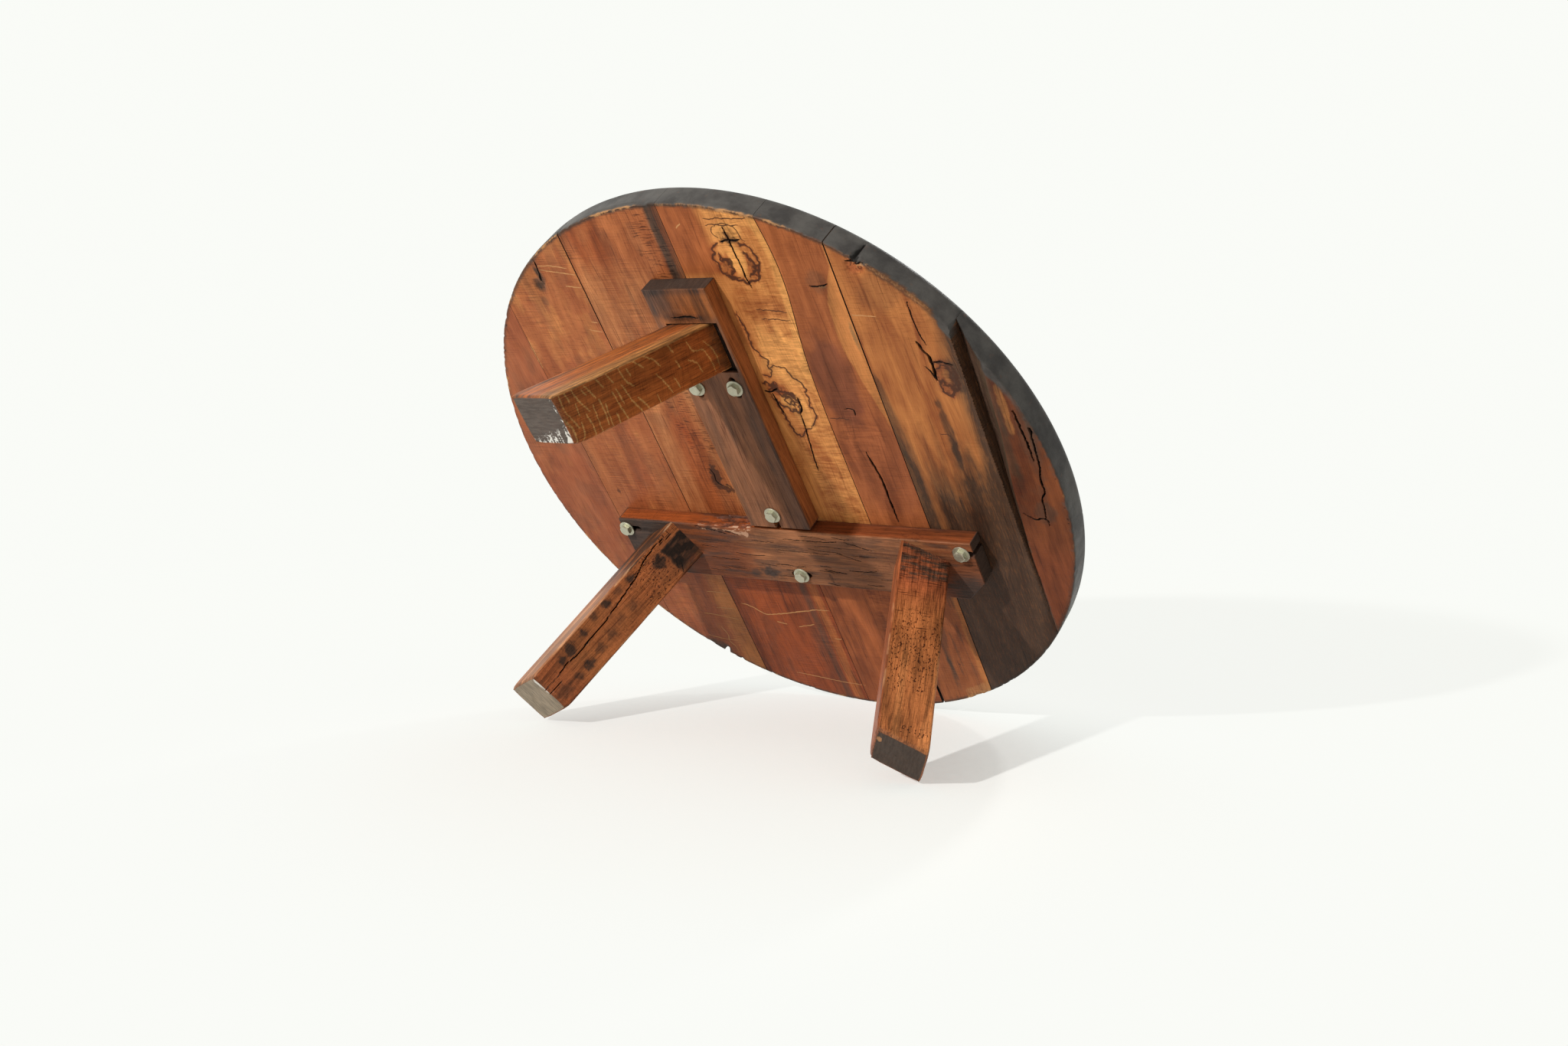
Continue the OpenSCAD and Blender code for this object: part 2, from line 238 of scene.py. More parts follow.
CRACKS = [Mark("crack", w, d, p) for w, d, p in (
    (2.6, 9, [(-109, 455), (-111, 436), (-111, 420), (-112, 405), (-114, 390), (-113, 375), (-116, 355)]),
    (2.0, 6, [(-96, 431), (-104, 434), (-112, 434), (-121, 433), (-129, 435)]),
    (2.2, 5, [(-107, 131), (-106, 118), (-104, 98), (-101, 75), (-98, 52), (-95, 22)]),
    (3.4, 6, [(-60, 172), (-66, 170), (-74, 172), (-83, 176)]),
    (2.6, 5, [(-113, 158), (-114, 148), (-112, 138), (-107, 130)]),
    (2.6, 6, [(-72, 166), (-73, 152), (-75, 140), (-79, 128)]),
    (3.6, 11, [(-197, 60), (-199, 44), (-203, 24), (-205, 2), (-204, -30), (-204, -74)]),
    (2.4, 4, [(-217, 355), (-226, 354), (-234, 355), (-243, 357)]),
    (1.6, 3, [(-360, 324), (-360, 300), (-361, 278), (-366, 256)]),
    (5.0, 12, [(-352, 260), (-357, 247), (-363, 236), (-365, 222), (-363, 205), (-364, 196)]),
    (2.0, 4, [(-353, 218), (-358, 210), (-361, 200)]),
    (2.4, 5, [(-369, 226), (-378, 227), (-388, 224), (-396, 222)]),
    (3.4, 12, [(-465, 142), (-467, 122), (-469, 100), (-470, 80), (-471, 58)]),
    (2.4, 9, [(-479, 130), (-480, 104), (-479, 78), (-477, 46), (-471, 22), (-472, 2), (-464, -12), (-462, -30),
              (-459, -50)]),
    (2.4, 9, [(-427, -42), (-433, -47), (-443, -52), (-452, -50), (-460, -52), (-461, -60)]),
    (2.2, 5, [(-288, 394), (-296, 392), (-304, 387)]),
    (2.0, 4, [(-308, 389), (-315, 386), (-323, 383)]),
    (2.8, 5, [(275, 378), (272, 390), (270, 402), (270, 414)]),
    (2.0, 3, [(118, 14), (114, 2), (116, -12), (108, -22)]),
    (1.5, 2.5, [(-190, 141), (-199, 142), (-205, 139), (-204, 131)]),
)]
LINES = [Mark("line", w * 1.15, 0.35, p, ragged=1.7) for w, p in (
    # knot with its burr near the rim
    (2.6, [(-90, 428), (-79, 424), (-75, 410), (-73, 403), (-78, 392), (-79, 380), (-89, 371), (-100, 367),
           (-112, 364), (-123, 367), (-135, 373), (-141, 386), (-144, 398), (-143, 413), (-136, 425), (-127, 422)]),
    (2.2, [(-83, 414), (-82, 401), (-90, 402), (-98, 399), (-99, 388), (-93, 378), (-103, 373)]),
    (1.8, [(-126, 414), (-133, 405), (-137, 392), (-131, 381), (-122, 375)]),
    (0.8, [(-93, 440), (-88, 449), (-95, 458), (-108, 461), (-122, 458), (-131, 449), (-133, 438), (-137, 432)]),
    # burr in the middle of the pale board
    (1.7, [(-69, 315), (-71, 298), (-73, 284), (-71, 266), (-73, 253), (-78, 241), (-88, 229), (-86, 217),
           (-87, 207), (-80, 200), (-70, 204)]),
    (1.9, [(-86, 214), (-93, 219), (-103, 217), (-113, 212), (-120, 202), (-123, 194), (-131, 188), (-135, 174),
           (-131, 165), (-134, 155), (-130, 143), (-133, 132), (-127, 115), (-117, 104), (-105, 101)]),
    (1.8, [(-104, 101), (-98, 91), (-88, 88), (-82, 95), (-79, 108), (-78, 122), (-74, 136), (-72, 150), (-69, 163)]),
    (3.2, [(-66, 171), (-74, 174), (-82, 178), (-89, 172), (-97, 166), (-108, 163), (-113, 154), (-111, 142),
           (-103, 134), (-96, 138), (-91, 135), (-86, 142), (-81, 150), (-75, 157)]),
    (2.0, [(-84, 168), (-90, 161), (-88, 152), (-94, 145), (-98, 149), (-101, 143)]),
    (1.6, [(-100, 162), (-104, 155), (-103, 147)]),
    (1.4, [(-62, 186), (-70, 189), (-76, 184), (-82, 190), (-86, 184)]),
    # knot in the broad board
    (2.2, [(-365, 222), (-371, 226), (-378, 227), (-389, 223), (-396, 211), (-396, 193), (-388, 178), (-377, 170),
           (-368, 180), (-364, 199)]),
    (1.5, [(-372, 216), (-380, 219), (-388, 211), (-386, 200), (-391, 192), (-384, 184), (-376, 187), (-372, 196)]),
    # fine saw scratches across
    (0.9, [(-83, 470), (-110, 470), (-138, 468), (-160, 468)]), (0.9, [(-82, 460), (-108, 459), (-137, 457)]),
    (1.0, [(-109, 317), (-130, 316), (-157, 313)]), (1.0, [(-111, 301), (-134, 300), (-157, 298)]),
    (0.9, [(-158, 122), (-172, 123), (-190, 122)]), (0.9, [(-336, 100), (-352, 96), (-356, 60)]),
)]
SCRATCHES = [Mark("scratch", w, 0.25, p, ragged=0.5) for w, p in (
    (1.7, [(190, -288), (176, -291), (165, -297), (152, -306), (140, -309), (118, -305), (95, -300), (60, -292),
           (32, -286), (8, -285)]),
    (1.4, [(127, -325), (110, -328)]), (1.2, [(86, -331), (70, -327), (52, -322)]),
    (1.3, [(267, 404), (240, 403), (212, 398)]), (1.3, [(266, 397), (238, 392), (203, 386)]),
    (1.1, [(230, 366), (203, 363)]), (1.1, [(225, 285), (204, 281)]), (1.0, [(214, 300), (203, 298)]),
    (1.2, [(-263, 306), (-282, 305), (-303, 303)]), (1.3, [(250, -306), (222, -304), (206, -305)]),
    (1.2, [(285, -323), (250, -325), (214, -330)]), (1.1, [(300, -378), (270, -383), (240, -384)]),
    (1.2, [(262, -355), (256, -372), (259, -388), (251, -400), (249, -414)]),
    (1.2, [(254, -268), (230, -267), (208, -269)]),
    (1.2, [(20, -351), (6, -350)]), (1.0, [(138, -448), (90, -452), (46, -457), (2, -459)]),
    (1.1, [(-38, 464), (-30, 459)]), (1.0, [(367, 268), (368, 240), (367, 205)]),
)]


# ---- boards ----
def seam_x(i, y):
    """Glue line i at y; the rim's side beyond the first and the last."""
    if i < 0:
        return np.full_like(y, 1e4)
    if i > 5:
        return np.full_like(y, -1e4)
    return SEAM_X[i] + SEAM_LEAN[i] * y / 1000 + SEAM_SWING[i] * np.exp(-(((y - 380) / 120.0) ** 2))


def seam_open(i, y):
    """How far a shrunken seam stands open on each side."""
    if i == 1:
        return 0.4 * smooth(230, 300, y) + 0.15
    if i == 3:
        return 1.9 * smooth(-425, -445, y) + 0.15
    if i == 4:
        return 0.4 * smooth(150, 230, y) + 0.2
    return 0.08 + 0 * y


# natural edge missing beside the last glue line: y, share of its full width and share of its full depth
WANE = ((520, 0.5, 1.25), (300, 0.55, 1.2), (225, 1, 1), (90, 0.72, 0.9), (0, 0.36, 0.6), (-110, 0.12, 0.3),
        (-250, 0.04, 0.12), (-520, 0, 0))
WANE_WIDTH, WANE_DEPTH = 30, 20
SAP_EDGE = ((500, -262), (427, -260), (387, -259), (363, -247), (327, -233), (273, -228), (233, -230), (173, -243),
            (133, -252), (87, -257), (0, -262))  # y and x of the sapwood's edge on board 4


def along_y(y, table, column=1):
    """Value of a table, whose first column is a falling y, at places y."""
    rows = np.array(table[::-1])
    return np.interp(y, rows[:, 0], rows[:, column])


def missing_edge(x, y):
    """Depth and share across of the natural edge missing beside the last glue line."""
    width = WANE_WIDTH * along_y(y, WANE) + 0.01
    depth = WANE_DEPTH * along_y(y, WANE, 2)
    t = np.clip((x - SEAM_X[5] + width) / width, 0, 1)
    lumps = (noise(x / 5, y / 22, 31, 3) - 0.5) * 3.2 * np.minimum(1, t * 4)
    beyond = x < SEAM_X[5] + 1
    return (np.where(beyond, depth * t**0.9 + lumps * (depth > 1) * (t > 0) * (t < 1), 0),
            np.where(beyond, t, 0) * (depth > 0.5))


# ---- rows for paint(): the boards, counted from 0 ----
CHIP = (-303, 387, 18, 13, 25, 0.5, 6, -35, 0.35)
ARCH = (-193, 190, 36, 78, 32, 0.3, 25)
FIRST_THREE = ("first", 3)
RED_CLOUDS = ("mottle", 0.48, 0.7, 44, 90, 151, 3)
BEYOND_BEAM = ("y", -188, -198)
BOARDS_BOTH_SIDES = (
    # knots and burrs
    ("line", 0.5, (-91, 391, 9, 17, 3, 1.0, 4)), ("line", 0.5, (-132, 392, 7, 19, 4, 1.0, 4)),
    ("red", 0.7, (-91, 391, 11, 20, 3, 0.6, 6)), ("red", 0.7, (-132, 392, 9, 22, 4, 0.6, 6)),
    ("sap", 0.9, (-111, 402, 14, 28, 90)), ("sap", 1.0, (-112, 446, 25, 17, 91)),
    ("dark", 0.55, (-101, 436, 6, 5, 5, 0.6, 4)), ("dark", 0.5, (-121, 436, 7, 5, 6, 0.6, 4)),
    ("line", 0.45, (-111, 440, 19, 14, 92, 0.9, 4)),
    ("line", 0.6, (-80, 180, 13, 9, 7, 0.9, 4, 30)), ("line", 0.5, (-103, 158, 12, 12, 8, 1.0, 4)),
    ("red", 0.8, (-85, 174, 18, 13, 7, 0.6, 6, 30)),
    ("sap", 0.9, (-92, 153, 11, 14, 93, 0.4, 8)), ("sap", 0.6, (-112, 130, 16, 34, 94)),
    ("h", 0.8, (-93, 155, 18, 17, 13, 0.4, 7), ("noise", 4, 4, 14)),
    ("line", 0.42, (-380, 198, 15, 27, 9, 0.8, 4)), ("stain", 0.35, (-380, 198, 20, 34, 10)),
    ("red", 0.6, (-380, 198, 17, 29, 10)), ("sap", 0.5, (-381, 203, 7, 13, 95, 0.4, 6)),
    ("h", 1.2, (-380, 198, 13, 24, 11, 0.4, 7), ("noise", 4, 4, 12)),
    ("dark", 0.5, (283, 368, 9.5, 9, 15, 0.5, 4, 20, 0.5)), ("dark", 0.55, (274, 383, 4.5, 10, 16, 0.5, 4, -15)),
    ("stain", 0.9, (282, 370, 12, 11, 15, 0.4, 7, 20, 0.5)), ("stain", 0.8, (273, 386, 6, 14, 16, 0.4, 6, -15)),
    ("stain", 0.45, (288, 340, 6, 8, 17)), ("stain", 0.35, (272, 405, 8, 16, 18)),
    ("stain", 0.75, (285, -399, 21, 10, 155, 0.5, 8, 34, 0.6)), ("h", 1.5, (282, 370, 9, 10, 15, 0.3, 7)),
    # sapwood, and the paler, redder and darker zones of each board
    ("sap", 1.0, 4, ("sapwood", 1.5, -2.0, 2, 9, 18, 28), ("y", 80, 150)),
    ("sap", 0.85, 3, ("seam 3", 16, 9, 4, EVEN, 40, 29, 1), ("y", 120, 260)),
    ("sap", 0.7, 3, (-115, 235, 38, 52, 98, 0.4, 16)), ("sap", 0.5, 3, ("rim", 40, 12), ("y", -1, 1), ("x", -60, -100)),
    ("red", 0.85, 3, ("x", -84, -66, 10, 20, 30, 30), ("y", 368, 386)),
    ("red", 0.35, 3, (-120, 322, 40, 22, 96, 0.3, 20)), ("red", 0.9, 3, ("y", -150, -196)),
    ("figure", 1.0, 3, ("x", -74, -92)), ("figure", -0.4, 3, ("x", -74, -92), ("y", 320, 380)),
    ("red", 0.9, 4, ARCH, ("clear", "sap")), ("red", 0.5, 4, (-215, 40, 60, 110, 99), ("clear", "sap")),
    ("red", 0.15, 4, ("y", -100, -196), ("clear", "sap")), ("stain", 0.25, 4, ARCH, ("clear", "sap")),
    ("stain", 0.4, 4, (-228, 362, 17, 17, 33, 0.4)),
    ("sap", 0.25, 4, BEYOND_BEAM), ("sap", 0.5, 4, BEYOND_BEAM, ("seam 4", 13, 8, 5, EVEN, 30, 149, 1)),
    ("stain", 0.5, 4, BEYOND_BEAM, ("mottle", 0.58, 0.68, 6, 80, 150, 3)), ("figure", 0.9, 4, (-200, 88, 38, 40, 34)),
    ("sap", 0.14, 1, ("y", -180, -200)), ("red", 0.42, 1, ("y", -60, -200)),
    ("red", 0.25, 1, ("mottle", 0.45, 0.65, 30, 60, 111)),
    ("red", 0.75, 2, ("x", 80, 130, 24, 18, 60, 100), ("y", 150, 90), ("x", 175, 150)),
    ("red", 1.0, 2, ("y", -130, -200)), ("red", 0.45, 2, ("y", 360, 420)),
    ("red", 0.4, FIRST_THREE, RED_CLOUDS), ("red", -0.2, 1, RED_CLOUDS, ("y", -60, -200)),
    ("red", 0.3, 6), ("red", 0.45, 6, ("y", -60, -150)),
    # saw marks
    ("saw", 0.9, 2, (28, 425, 26, 75, 101, 0.2)), ("saw", 0.9, 2, (112, 110, 34, 80, 102, 0.2)), ("saw", 0.3, 1),
    ("saw", 0.2, 2), ("saw", 0.35, 3, ("x", -74, -92)), ("saw", 0.15, 4), ("saw", 0.3, 5, ("y", 200, 300)),
)
BOARDS_UNDERSIDE = (
    # a chip in the rim, and small knots
    ("h", 1.2, CHIP), ("h", 3.0, CHIP, ("noise", 4, 4, 26)), ("red", 0.7, CHIP),
    ("pale", 0.75, CHIP, ("mottle", 0.45, 0.6, 2.4, 3.2, 157), ("rim", 20, 8)),
    ("dark", 0.7, CHIP, ("mottle", 0.6, 0.72, 2.2, 2.6, 158)),
    ("line", 0.6, (340, -46, 5, 6, 19)), ("line", 0.5, (229, 81, 3, 2, 20)), ("line", 0.7, (-210, -378, 3, 3, 21)),
    ("line", 0.95, (113, -4, 10, 24, 22, 0.6, 7, 12)), ("line", 0.8, (101, -26, 15, 10, 23, 0.7, 6)),
    ("sap", 0.8, (97, -22, 7, 4, 24, 0.6, 5)),
    ("olive", 0.75, (-256, 272, 3.2, 22, 35, 0.3, 6)), ("olive", 0.5, (-236, 354, 7, 2.5, 36)),
    # the first three boards
    ("stain", 0.25, 0, (430, 110, 40, 60, 103, 0.3, 30)), ("sap", 0.12, 0, ("mottle", 0.5, 0.75, 26, 60, 50, 3)),
    ("stain", 0.2, FIRST_THREE, ("mottle", 0.55, 0.7, 28, 55, 104, 3)),
    ("sap", 0.2, FIRST_THREE, ("mottle", 0.48, 0.7, 22, 50, 105, 3), ("y", -190.1, -190)),
    ("sap", 0.35, 1, ("x", 257, 230, 10, 14, 60, 116), ("y", -180, -200)), ("sap", 0.2, 1, ("y", 150, 300)),
    ("sap", 0.15, 1, ("mottle", 0.55, 0.75, 30, 40, 49, 3)), ("stain", 0.3, 2, (112, 335, 4, 40, 51)),
    ("stain", 0.25, 2, ("x", 16, 60), ("x", 80, 60), ("y", -190, -200)),
    # raw wood at the rim, and a dark streak beside the fifth glue line
    ("pale", 0.3, 3, ("rim", 24, 12, 8, 7, 7, 52, 3), ("y", 430, 440)),
    ("pale", 0.55, 4, ("rim", 26, 18, 6, 7, 7, 52, 3), ("x", -196, -204), ("y", -380, -390)),
    ("stain", 0.55, 4, (-194, -300, 6, 130, 37)),
    # painted shade: dark olive strip beside the fifth glue line
    ("olive", 0.15, 5, ("seam 4", -9, -3), ("y", 205, 150), ("y", -90, 0)),
    # the broad board: scorched towards the last glue line and below the cross beam
    ("stain", 0.95, 5, ("x", -376, -404, 10, 12, 40, 39)), ("stain", 0.22, 5, (-325, 345, 42, 26, 40, 0.3, 25, -25)),
    ("stain", 0.7, 5, (-352, 105, 6, 60, 41, 0.5)), ("stain", 0.5, 5, (-357, 30, 18, 60, 118, 0.4, 12, 0, 0.6)),
    ("stain", 0.75, 5, ("y", 60, -75, 26, 22, 60, 42, 3), ("x", -272, -300)), ("stain", 0.25, 5, ("y", 120, -60)),
    ("stain", 1.1, 5, ("y", -120, -190)), ("stain", 0.3, 5, ("mottle", 0.42, 0.62, 9, 90, 113, 3), ("y", 160, 40)),
    ("stain", -0.55, 5, (-370, -305, 17, 14, 43, 0.4)), ("stain", -0.25, 5, (-366, -165, 14, 34, 44, 0.4)),
    ("stain", -0.35, 5, ("rim", 28, 5), ("y", 1, -1)),
)
LAST_BOARD = (
    ("stain", 0.5, 6, (-474, 92, 14, 60, 46)), ("stain", 0.6, 6, (-462, -40, 16, 20, 47, 0.4)),
    ("stain", 0.35, 6, ("mottle", 0.5, 0.66, 12, 40, 114, 3), ("y", -80, 0)),
    ("sap", 0.5, 6, (-452, 150, 7, 50, 48, 0.4)),
)


def board_marks(x, y, face=False):
    """Relief and colour masks of the boards, at places on the underside or the face."""
    m = blank(len(x))
    m["h"] += (0.35 if face else 0.55) * noise(x / 38, y / 160, 2, 2) + 0.12 * noise(x / 6, y / 50, 4, 2)
    draw(m, CRACKS + LINES + ([] if face else SCRATCHES), x, y, 0.45 if face else 1.0)
    board = sum((x < seam_x(i, y)).astype(int) for i in range(6))
    rim, seam = TOP_R - np.hypot(x, y), x - seam_x(4, y)
    at = {"x": x, "y": y, "rim": rim, "seam 3": x - seam_x(3, y), "seam 4": seam, "sapwood": x - along_y(y, SAP_EDGE),
          "part": board, "masks": m}
    paint(at, BOARDS_BOTH_SIDES)
    if face:
        m["stain"] *= 0.6
        return m
    paint(at, BOARDS_UNDERSIDE)
    # dark strip beside the third glue line, on both sides of the cross beam
    off = x - (8 - 0.021 * y) + 3 * (noise(x * 0, y / 30, 112, 2) - 0.5)
    grain = 0.7 + 0.5 * noise(x / 6, y / 60, 38, 2)
    for key, ends, strength, middle, outer, inner in (
            ("stain", (340, 380), 0.95 * grain, 10, 8, 4), ("stain", (340, 380), 0.5 * grain, 3, 20, 14),
            ("stain", (-190, -200), 0.5 * grain, 26, 10, 4), ("sap", (-190, -200), 0.36, 6, 12, 8)):
        m[key] += (board == 2) * smooth(*ends, y) * strength * smooth(outer, inner, np.abs(off - middle))
    # painted dark shade beside the fifth glue line, written into the stain mask
    width = np.interp(y, (-100, 40, 120, 190, 215), (26, 22, 17, 9, 0.5))
    m["stain"] += (board == 5) * 0.65 * smooth(width, width * 0.45, -3 - seam) * smooth(215, 195, y)
    # the missing natural edge, with bark in it
    depth, share = missing_edge(x, y)
    m["h"] = np.maximum(m["h"], depth)
    loose = 0.5 * smooth(-448, -441, x) * patch(x, y, -436, 130, 13, 120, 45)
    bark = (board == 6) * np.maximum(smooth(0, 0.08, share), loose)
    m["stain"] = np.maximum(m["stain"], bark)
    m["olive"] += 0.15 * bark * smooth(0.55, 0.2, share)
    paint(at, LAST_BOARD)
    # raw, chipped wood along the underside's rim
    angle = np.degrees(np.arctan2(y, x))
    often = 0.2 + 0.65 * smooth(0.42, 0.6, noise(angle / 7, angle * 0, 53, 2))
    raw = smooth(5.0, 2.8, rim + 6 * (noise(x / 7, y / 7, 52, 3) - 0.4)) * (1 - np.clip(m["stain"], 0, 1) * 0.8)
    m["pale"] += often * raw * (1 - 0.45 * (board == 5) * (y > 0) - 0.55 * (board == 6))
    pits = smooth(0.66, 0.74, noise(x / 5, y / 5, 54, 3)) * (noise(angle / 5, angle * 0, 55) > 0.4)
    m["dark"] += 0.8 * pits * smooth(9, 4, rim)
    # black stain that ran in from the rim beside the natural edge
    run_in = 5 + 9 * smooth(142.5, 145, angle) * smooth(163, 152, angle) + 4 * (noise(angle, angle * 0, 56, 2) - 0.5)
    m["rim"] += smooth(run_in + 1.5, run_in - 1.5, rim) * smooth(141.5, 143.2, angle) * smooth(166, 156, angle)
    return m


# knots that the grain bends round: middle, half widths, push
BENDS = ((-111, 420, 30, 50, 14), (-95, 155, 34, 62, 15), (-380, 200, 22, 50, 13), (280, 375, 14, 34, 8),
         (-200, 85, 22, 36, 10), (108, -8, 18, 40, 8), (340, -46, 8, 18, 4), (-310, 388, 18, 22, 6))


def warped_grain(x, y):
    """Place across the grain, bent round the knots and with the lines' slow wander."""
    g = x + 7 * (noise(x / 90, y / 300, 60, 2) - 0.5)
    for cx, cy, rx, ry, push in BENDS:
        u, v = (x - cx) / rx, (y - cy) / ry
        g = g - push * np.tanh(u * 1.5) * np.exp(-(u * u) / 2.2 - v * v)
    return g


# ---- meshes ----
def make_piece(name, node, shell, layers, material, crease=38.0):
    """Builds a piece from a shell in millimetres, rides it and lets it stand for its CAD node."""
    mesh = bpy.data.meshes.new(name)
    mesh.from_pydata((np.vstack(shell.v) * MM).tolist(), [], shell.f)
    for key, values in layers.items():
        layer = mesh.attributes.new(key, "FLOAT_VECTOR", "POINT")
        layer.data.foreach_set("vector", np.asarray(values, np.float32).ravel())
    mesh.shade_smooth()
    mesh.set_sharp_from_angle(angle=math.radians(crease))
    mesh.materials.append(material)
    mesh.validate()
    piece = bpy.data.objects.new(name, mesh)
    bpy.context.scene.collection.objects.link(piece)
    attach(piece, "root")
    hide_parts(node)
    return piece


class Shell:
    """Collects points, their attributes and faces of one closed piece."""

    def __init__(self):
        self.v, self.f, self.extra, self.n = [], [], [], 0

    def points(self, p, **extra):
        p = np.asarray(p, float)
        self.v.append(p)
        self.extra.append({k: np.broadcast_to(np.asarray(v, float), (len(p),)) for k, v in extra.items()})
        self.n += len(p)
        return np.arange(self.n - len(p), self.n)

    def bands(self, rings, flip=False):
        """Quads between rings of points, each with the next."""
        for a, b in zip(rings[:-1], rings[1:]):
            a2, b2 = np.roll(a, -1), np.roll(b, -1)
            q = np.stack([a, b, b2, a2] if flip else [a, a2, b2, b], 1)
            self.f += q.tolist()

    def well(self, path, steps, flip=True, **extra):
        """Rings of an outline, each moved inwards by a distance, at heights, with bands between them."""
        rings = [self.points(np.column_stack([offset(path, inwards), np.full(len(path), z)]), **extra)
                 for inwards, z in steps]
        self.bands(rings, flip)
        return rings

    def cap(self, point, ring, flip=False):
        """Closes a ring with triangles to a point."""
        a, b = ring, np.roll(ring, -1)
        tip = np.full(len(ring), self.points([point])[0])
        self.f += np.stack([tip, a, b] if flip else [tip, b, a], 1).tolist()

    def fill(self, ring_xy, ring_idx, inner, z, flip, holes=(), **extra):
        """Fills a ring with triangles through inner points. holes are (xy, indices) rings that stay open."""
        pts = [ring_xy] + [h[0] for h in holes]
        sizes = np.cumsum([0] + [len(p) for p in pts])
        loops = [list(range(a, b)) for a, b in zip(sizes[:-1], sizes[1:])]
        allp = np.vstack(pts + [inner]) if len(inner) else np.vstack(pts)
        edges = [(l[k], l[(k + 1) % len(l)]) for l in loops[1:] for k in range(len(l))]
        got, _, tris, *_ = delaunay_2d_cdt([Vector(p) for p in allp.tolist()], edges, [loops[0]], 1, 1e-7, False)
        got = np.array([tuple(p) for p in got])
        if len(got) != len(allp):
            raise ValueError("two points of a filled outline lie in one place")
        T = np.array(tris)
        keep = np.ones(len(T), bool)
        # triangles outside the outline or in a hole have all their corners on outlines
        odd = np.nonzero((T < sizes[-1]).all(1))[0]
        c = got[T[odd]].mean(1)
        keep[odd] = inside(c, ring_xy)
        for h, _i in holes:
            keep[odd] &= ~inside(c, h)
        idx = np.concatenate([ring_idx] + [h[1] for h in holes])
        if len(inner):
            new = self.points(np.column_stack([inner, np.broadcast_to(z, len(inner))]), **extra)
            idx = np.concatenate([idx, new])
        T = idx[T[keep]]
        self.f += (T[:, ::-1] if flip else T).tolist()

    def data(self):
        """All points, and each attribute over all of them."""
        names = MASKS + ("side", "hole", "face", "touch")
        rows = [(e, np.zeros(len(p))) for e, p in zip(self.extra, self.v)]
        return np.vstack(self.v), {k: np.concatenate([e.get(k, none) for e, none in rows]) for k in names}


def inside(p, loop):
    """Which points lie inside a closed outline."""
    x, y = p[:, 0][:, None], p[:, 1][:, None]
    a, b = loop, np.roll(loop, -1, 0)
    cross = (a[:, 1] > y) != (b[:, 1] > y)
    with np.errstate(divide="ignore", invalid="ignore"):
        at = (b[:, 0] - a[:, 0]) * (y - a[:, 1]) / (b[:, 1] - a[:, 1]) + a[:, 0]
    return ((cross & (x < at)).sum(1) % 2) == 1


def scatter(lo, hi, step, seed):
    """Points of a loosely shaken triangular grid."""
    xs = np.arange(lo[0], hi[0], step)
    ys = np.arange(lo[1], hi[1], step * 0.866)
    X, Y = np.meshgrid(xs, ys)
    X = X + (np.arange(len(ys)) % 2)[:, None] * step / 2
    p = np.stack([X.ravel(), Y.ravel()], 1)
    return p + (np.random.default_rng(seed).random(p.shape) - 0.5) * step * 0.3


def clear_of(p, q, gap):
    """Points of p that have none of q within about gap."""
    if not len(q):
        return p
    taken = set()
    cell = np.floor(q / gap).astype(int)
    for dx in (-1, 0, 1):
        for dy in (-1, 0, 1):
            taken.update(map(tuple, (cell + (dx, dy)).tolist()))
    keep = [tuple(c) not in taken for c in np.floor(p / gap).astype(int).tolist()]
    return p[keep]


def thinned(p, gap):
    """Drops points that share a small cell with an earlier one."""
    _, first = np.unique(np.floor(p / gap).astype(int), axis=0, return_index=True)
    return p[np.sort(first)]


def mark_rows(marks, keep):
    """The points that carry the shape of marks, as far as keep lets them through."""
    rows = np.vstack([m.rows() for m in marks])
    return thinned(rows[keep(rows)], 0.45)


def board_outline(i, seam_in, rim_in, step=3.0):
    """Outline of board i, counter-clockwise from above, moved in from the seams and from the rim.
    Gives the points and, for each, whether it lies on the rim."""
    def edge(k, side, y, inward):
        return seam_x(k, y) - side * (GLUE / 2 + inward * (seam_in * SEAM_ARRIS[k] + seam_open(k, y)))

    def corner(k, side, sign, inward=1):
        R, y = TOP_R - rim_in * inward, np.array(sign * 300.0)
        for _ in range(40):
            y = sign * np.sqrt(R * R - edge(k, side, y, inward) ** 2)
        return float(edge(k, side, y, inward)), float(y)

    def arc(a, b):
        """Along the rim from corner a to corner b; each is (seam, side, sign)."""
        t = [[math.atan2(*corner(*c, inward)[::-1]) for c in (a, b)] for inward in (0, 1)]
        t = [(p, q if q > p else q + 2 * math.pi) for p, q in t]
        n = max(4, int((t[0][1] - t[0][0]) * TOP_R / step))
        ang = t[1][0] + (t[1][1] - t[1][0]) * np.arange(n) / n
        return np.stack([np.cos(ang), np.sin(ang)], 1) * (TOP_R - rim_in), np.ones(n)

    def run(a, b):
        """Along a seam from corner a to corner b."""
        k, side, _ = a
        n = max(4, int(abs(corner(*a, 0)[1] - corner(*b, 0)[1]) / (step * 1.3)))
        y0, y1 = corner(*a)[1], corner(*b)[1]
        y = y0 + (y1 - y0) * np.arange(n) / n
        return np.stack([edge(k, side, y, 1), y], 1), np.zeros(n)

    right, right_low, left, left_low = (i - 1, 1, 1), (i - 1, 1, -1), (i, -1, 1), (i, -1, -1)
    if i == 0:
        full = [run(left, left_low), arc(left_low, left)]
    elif i == 6:
        full = [arc(right, right_low), run(right_low, right)]
    else:
        full = [arc(right, left), run(left, left_low), arc(left_low, right_low), run(right_low, right)]
    return np.vstack([f[0] for f in full]), np.concatenate([f[1] for f in full])


NOTCH_ANGLE, SPLIT_ANGLE = math.radians(-56.3), math.radians(127.3)


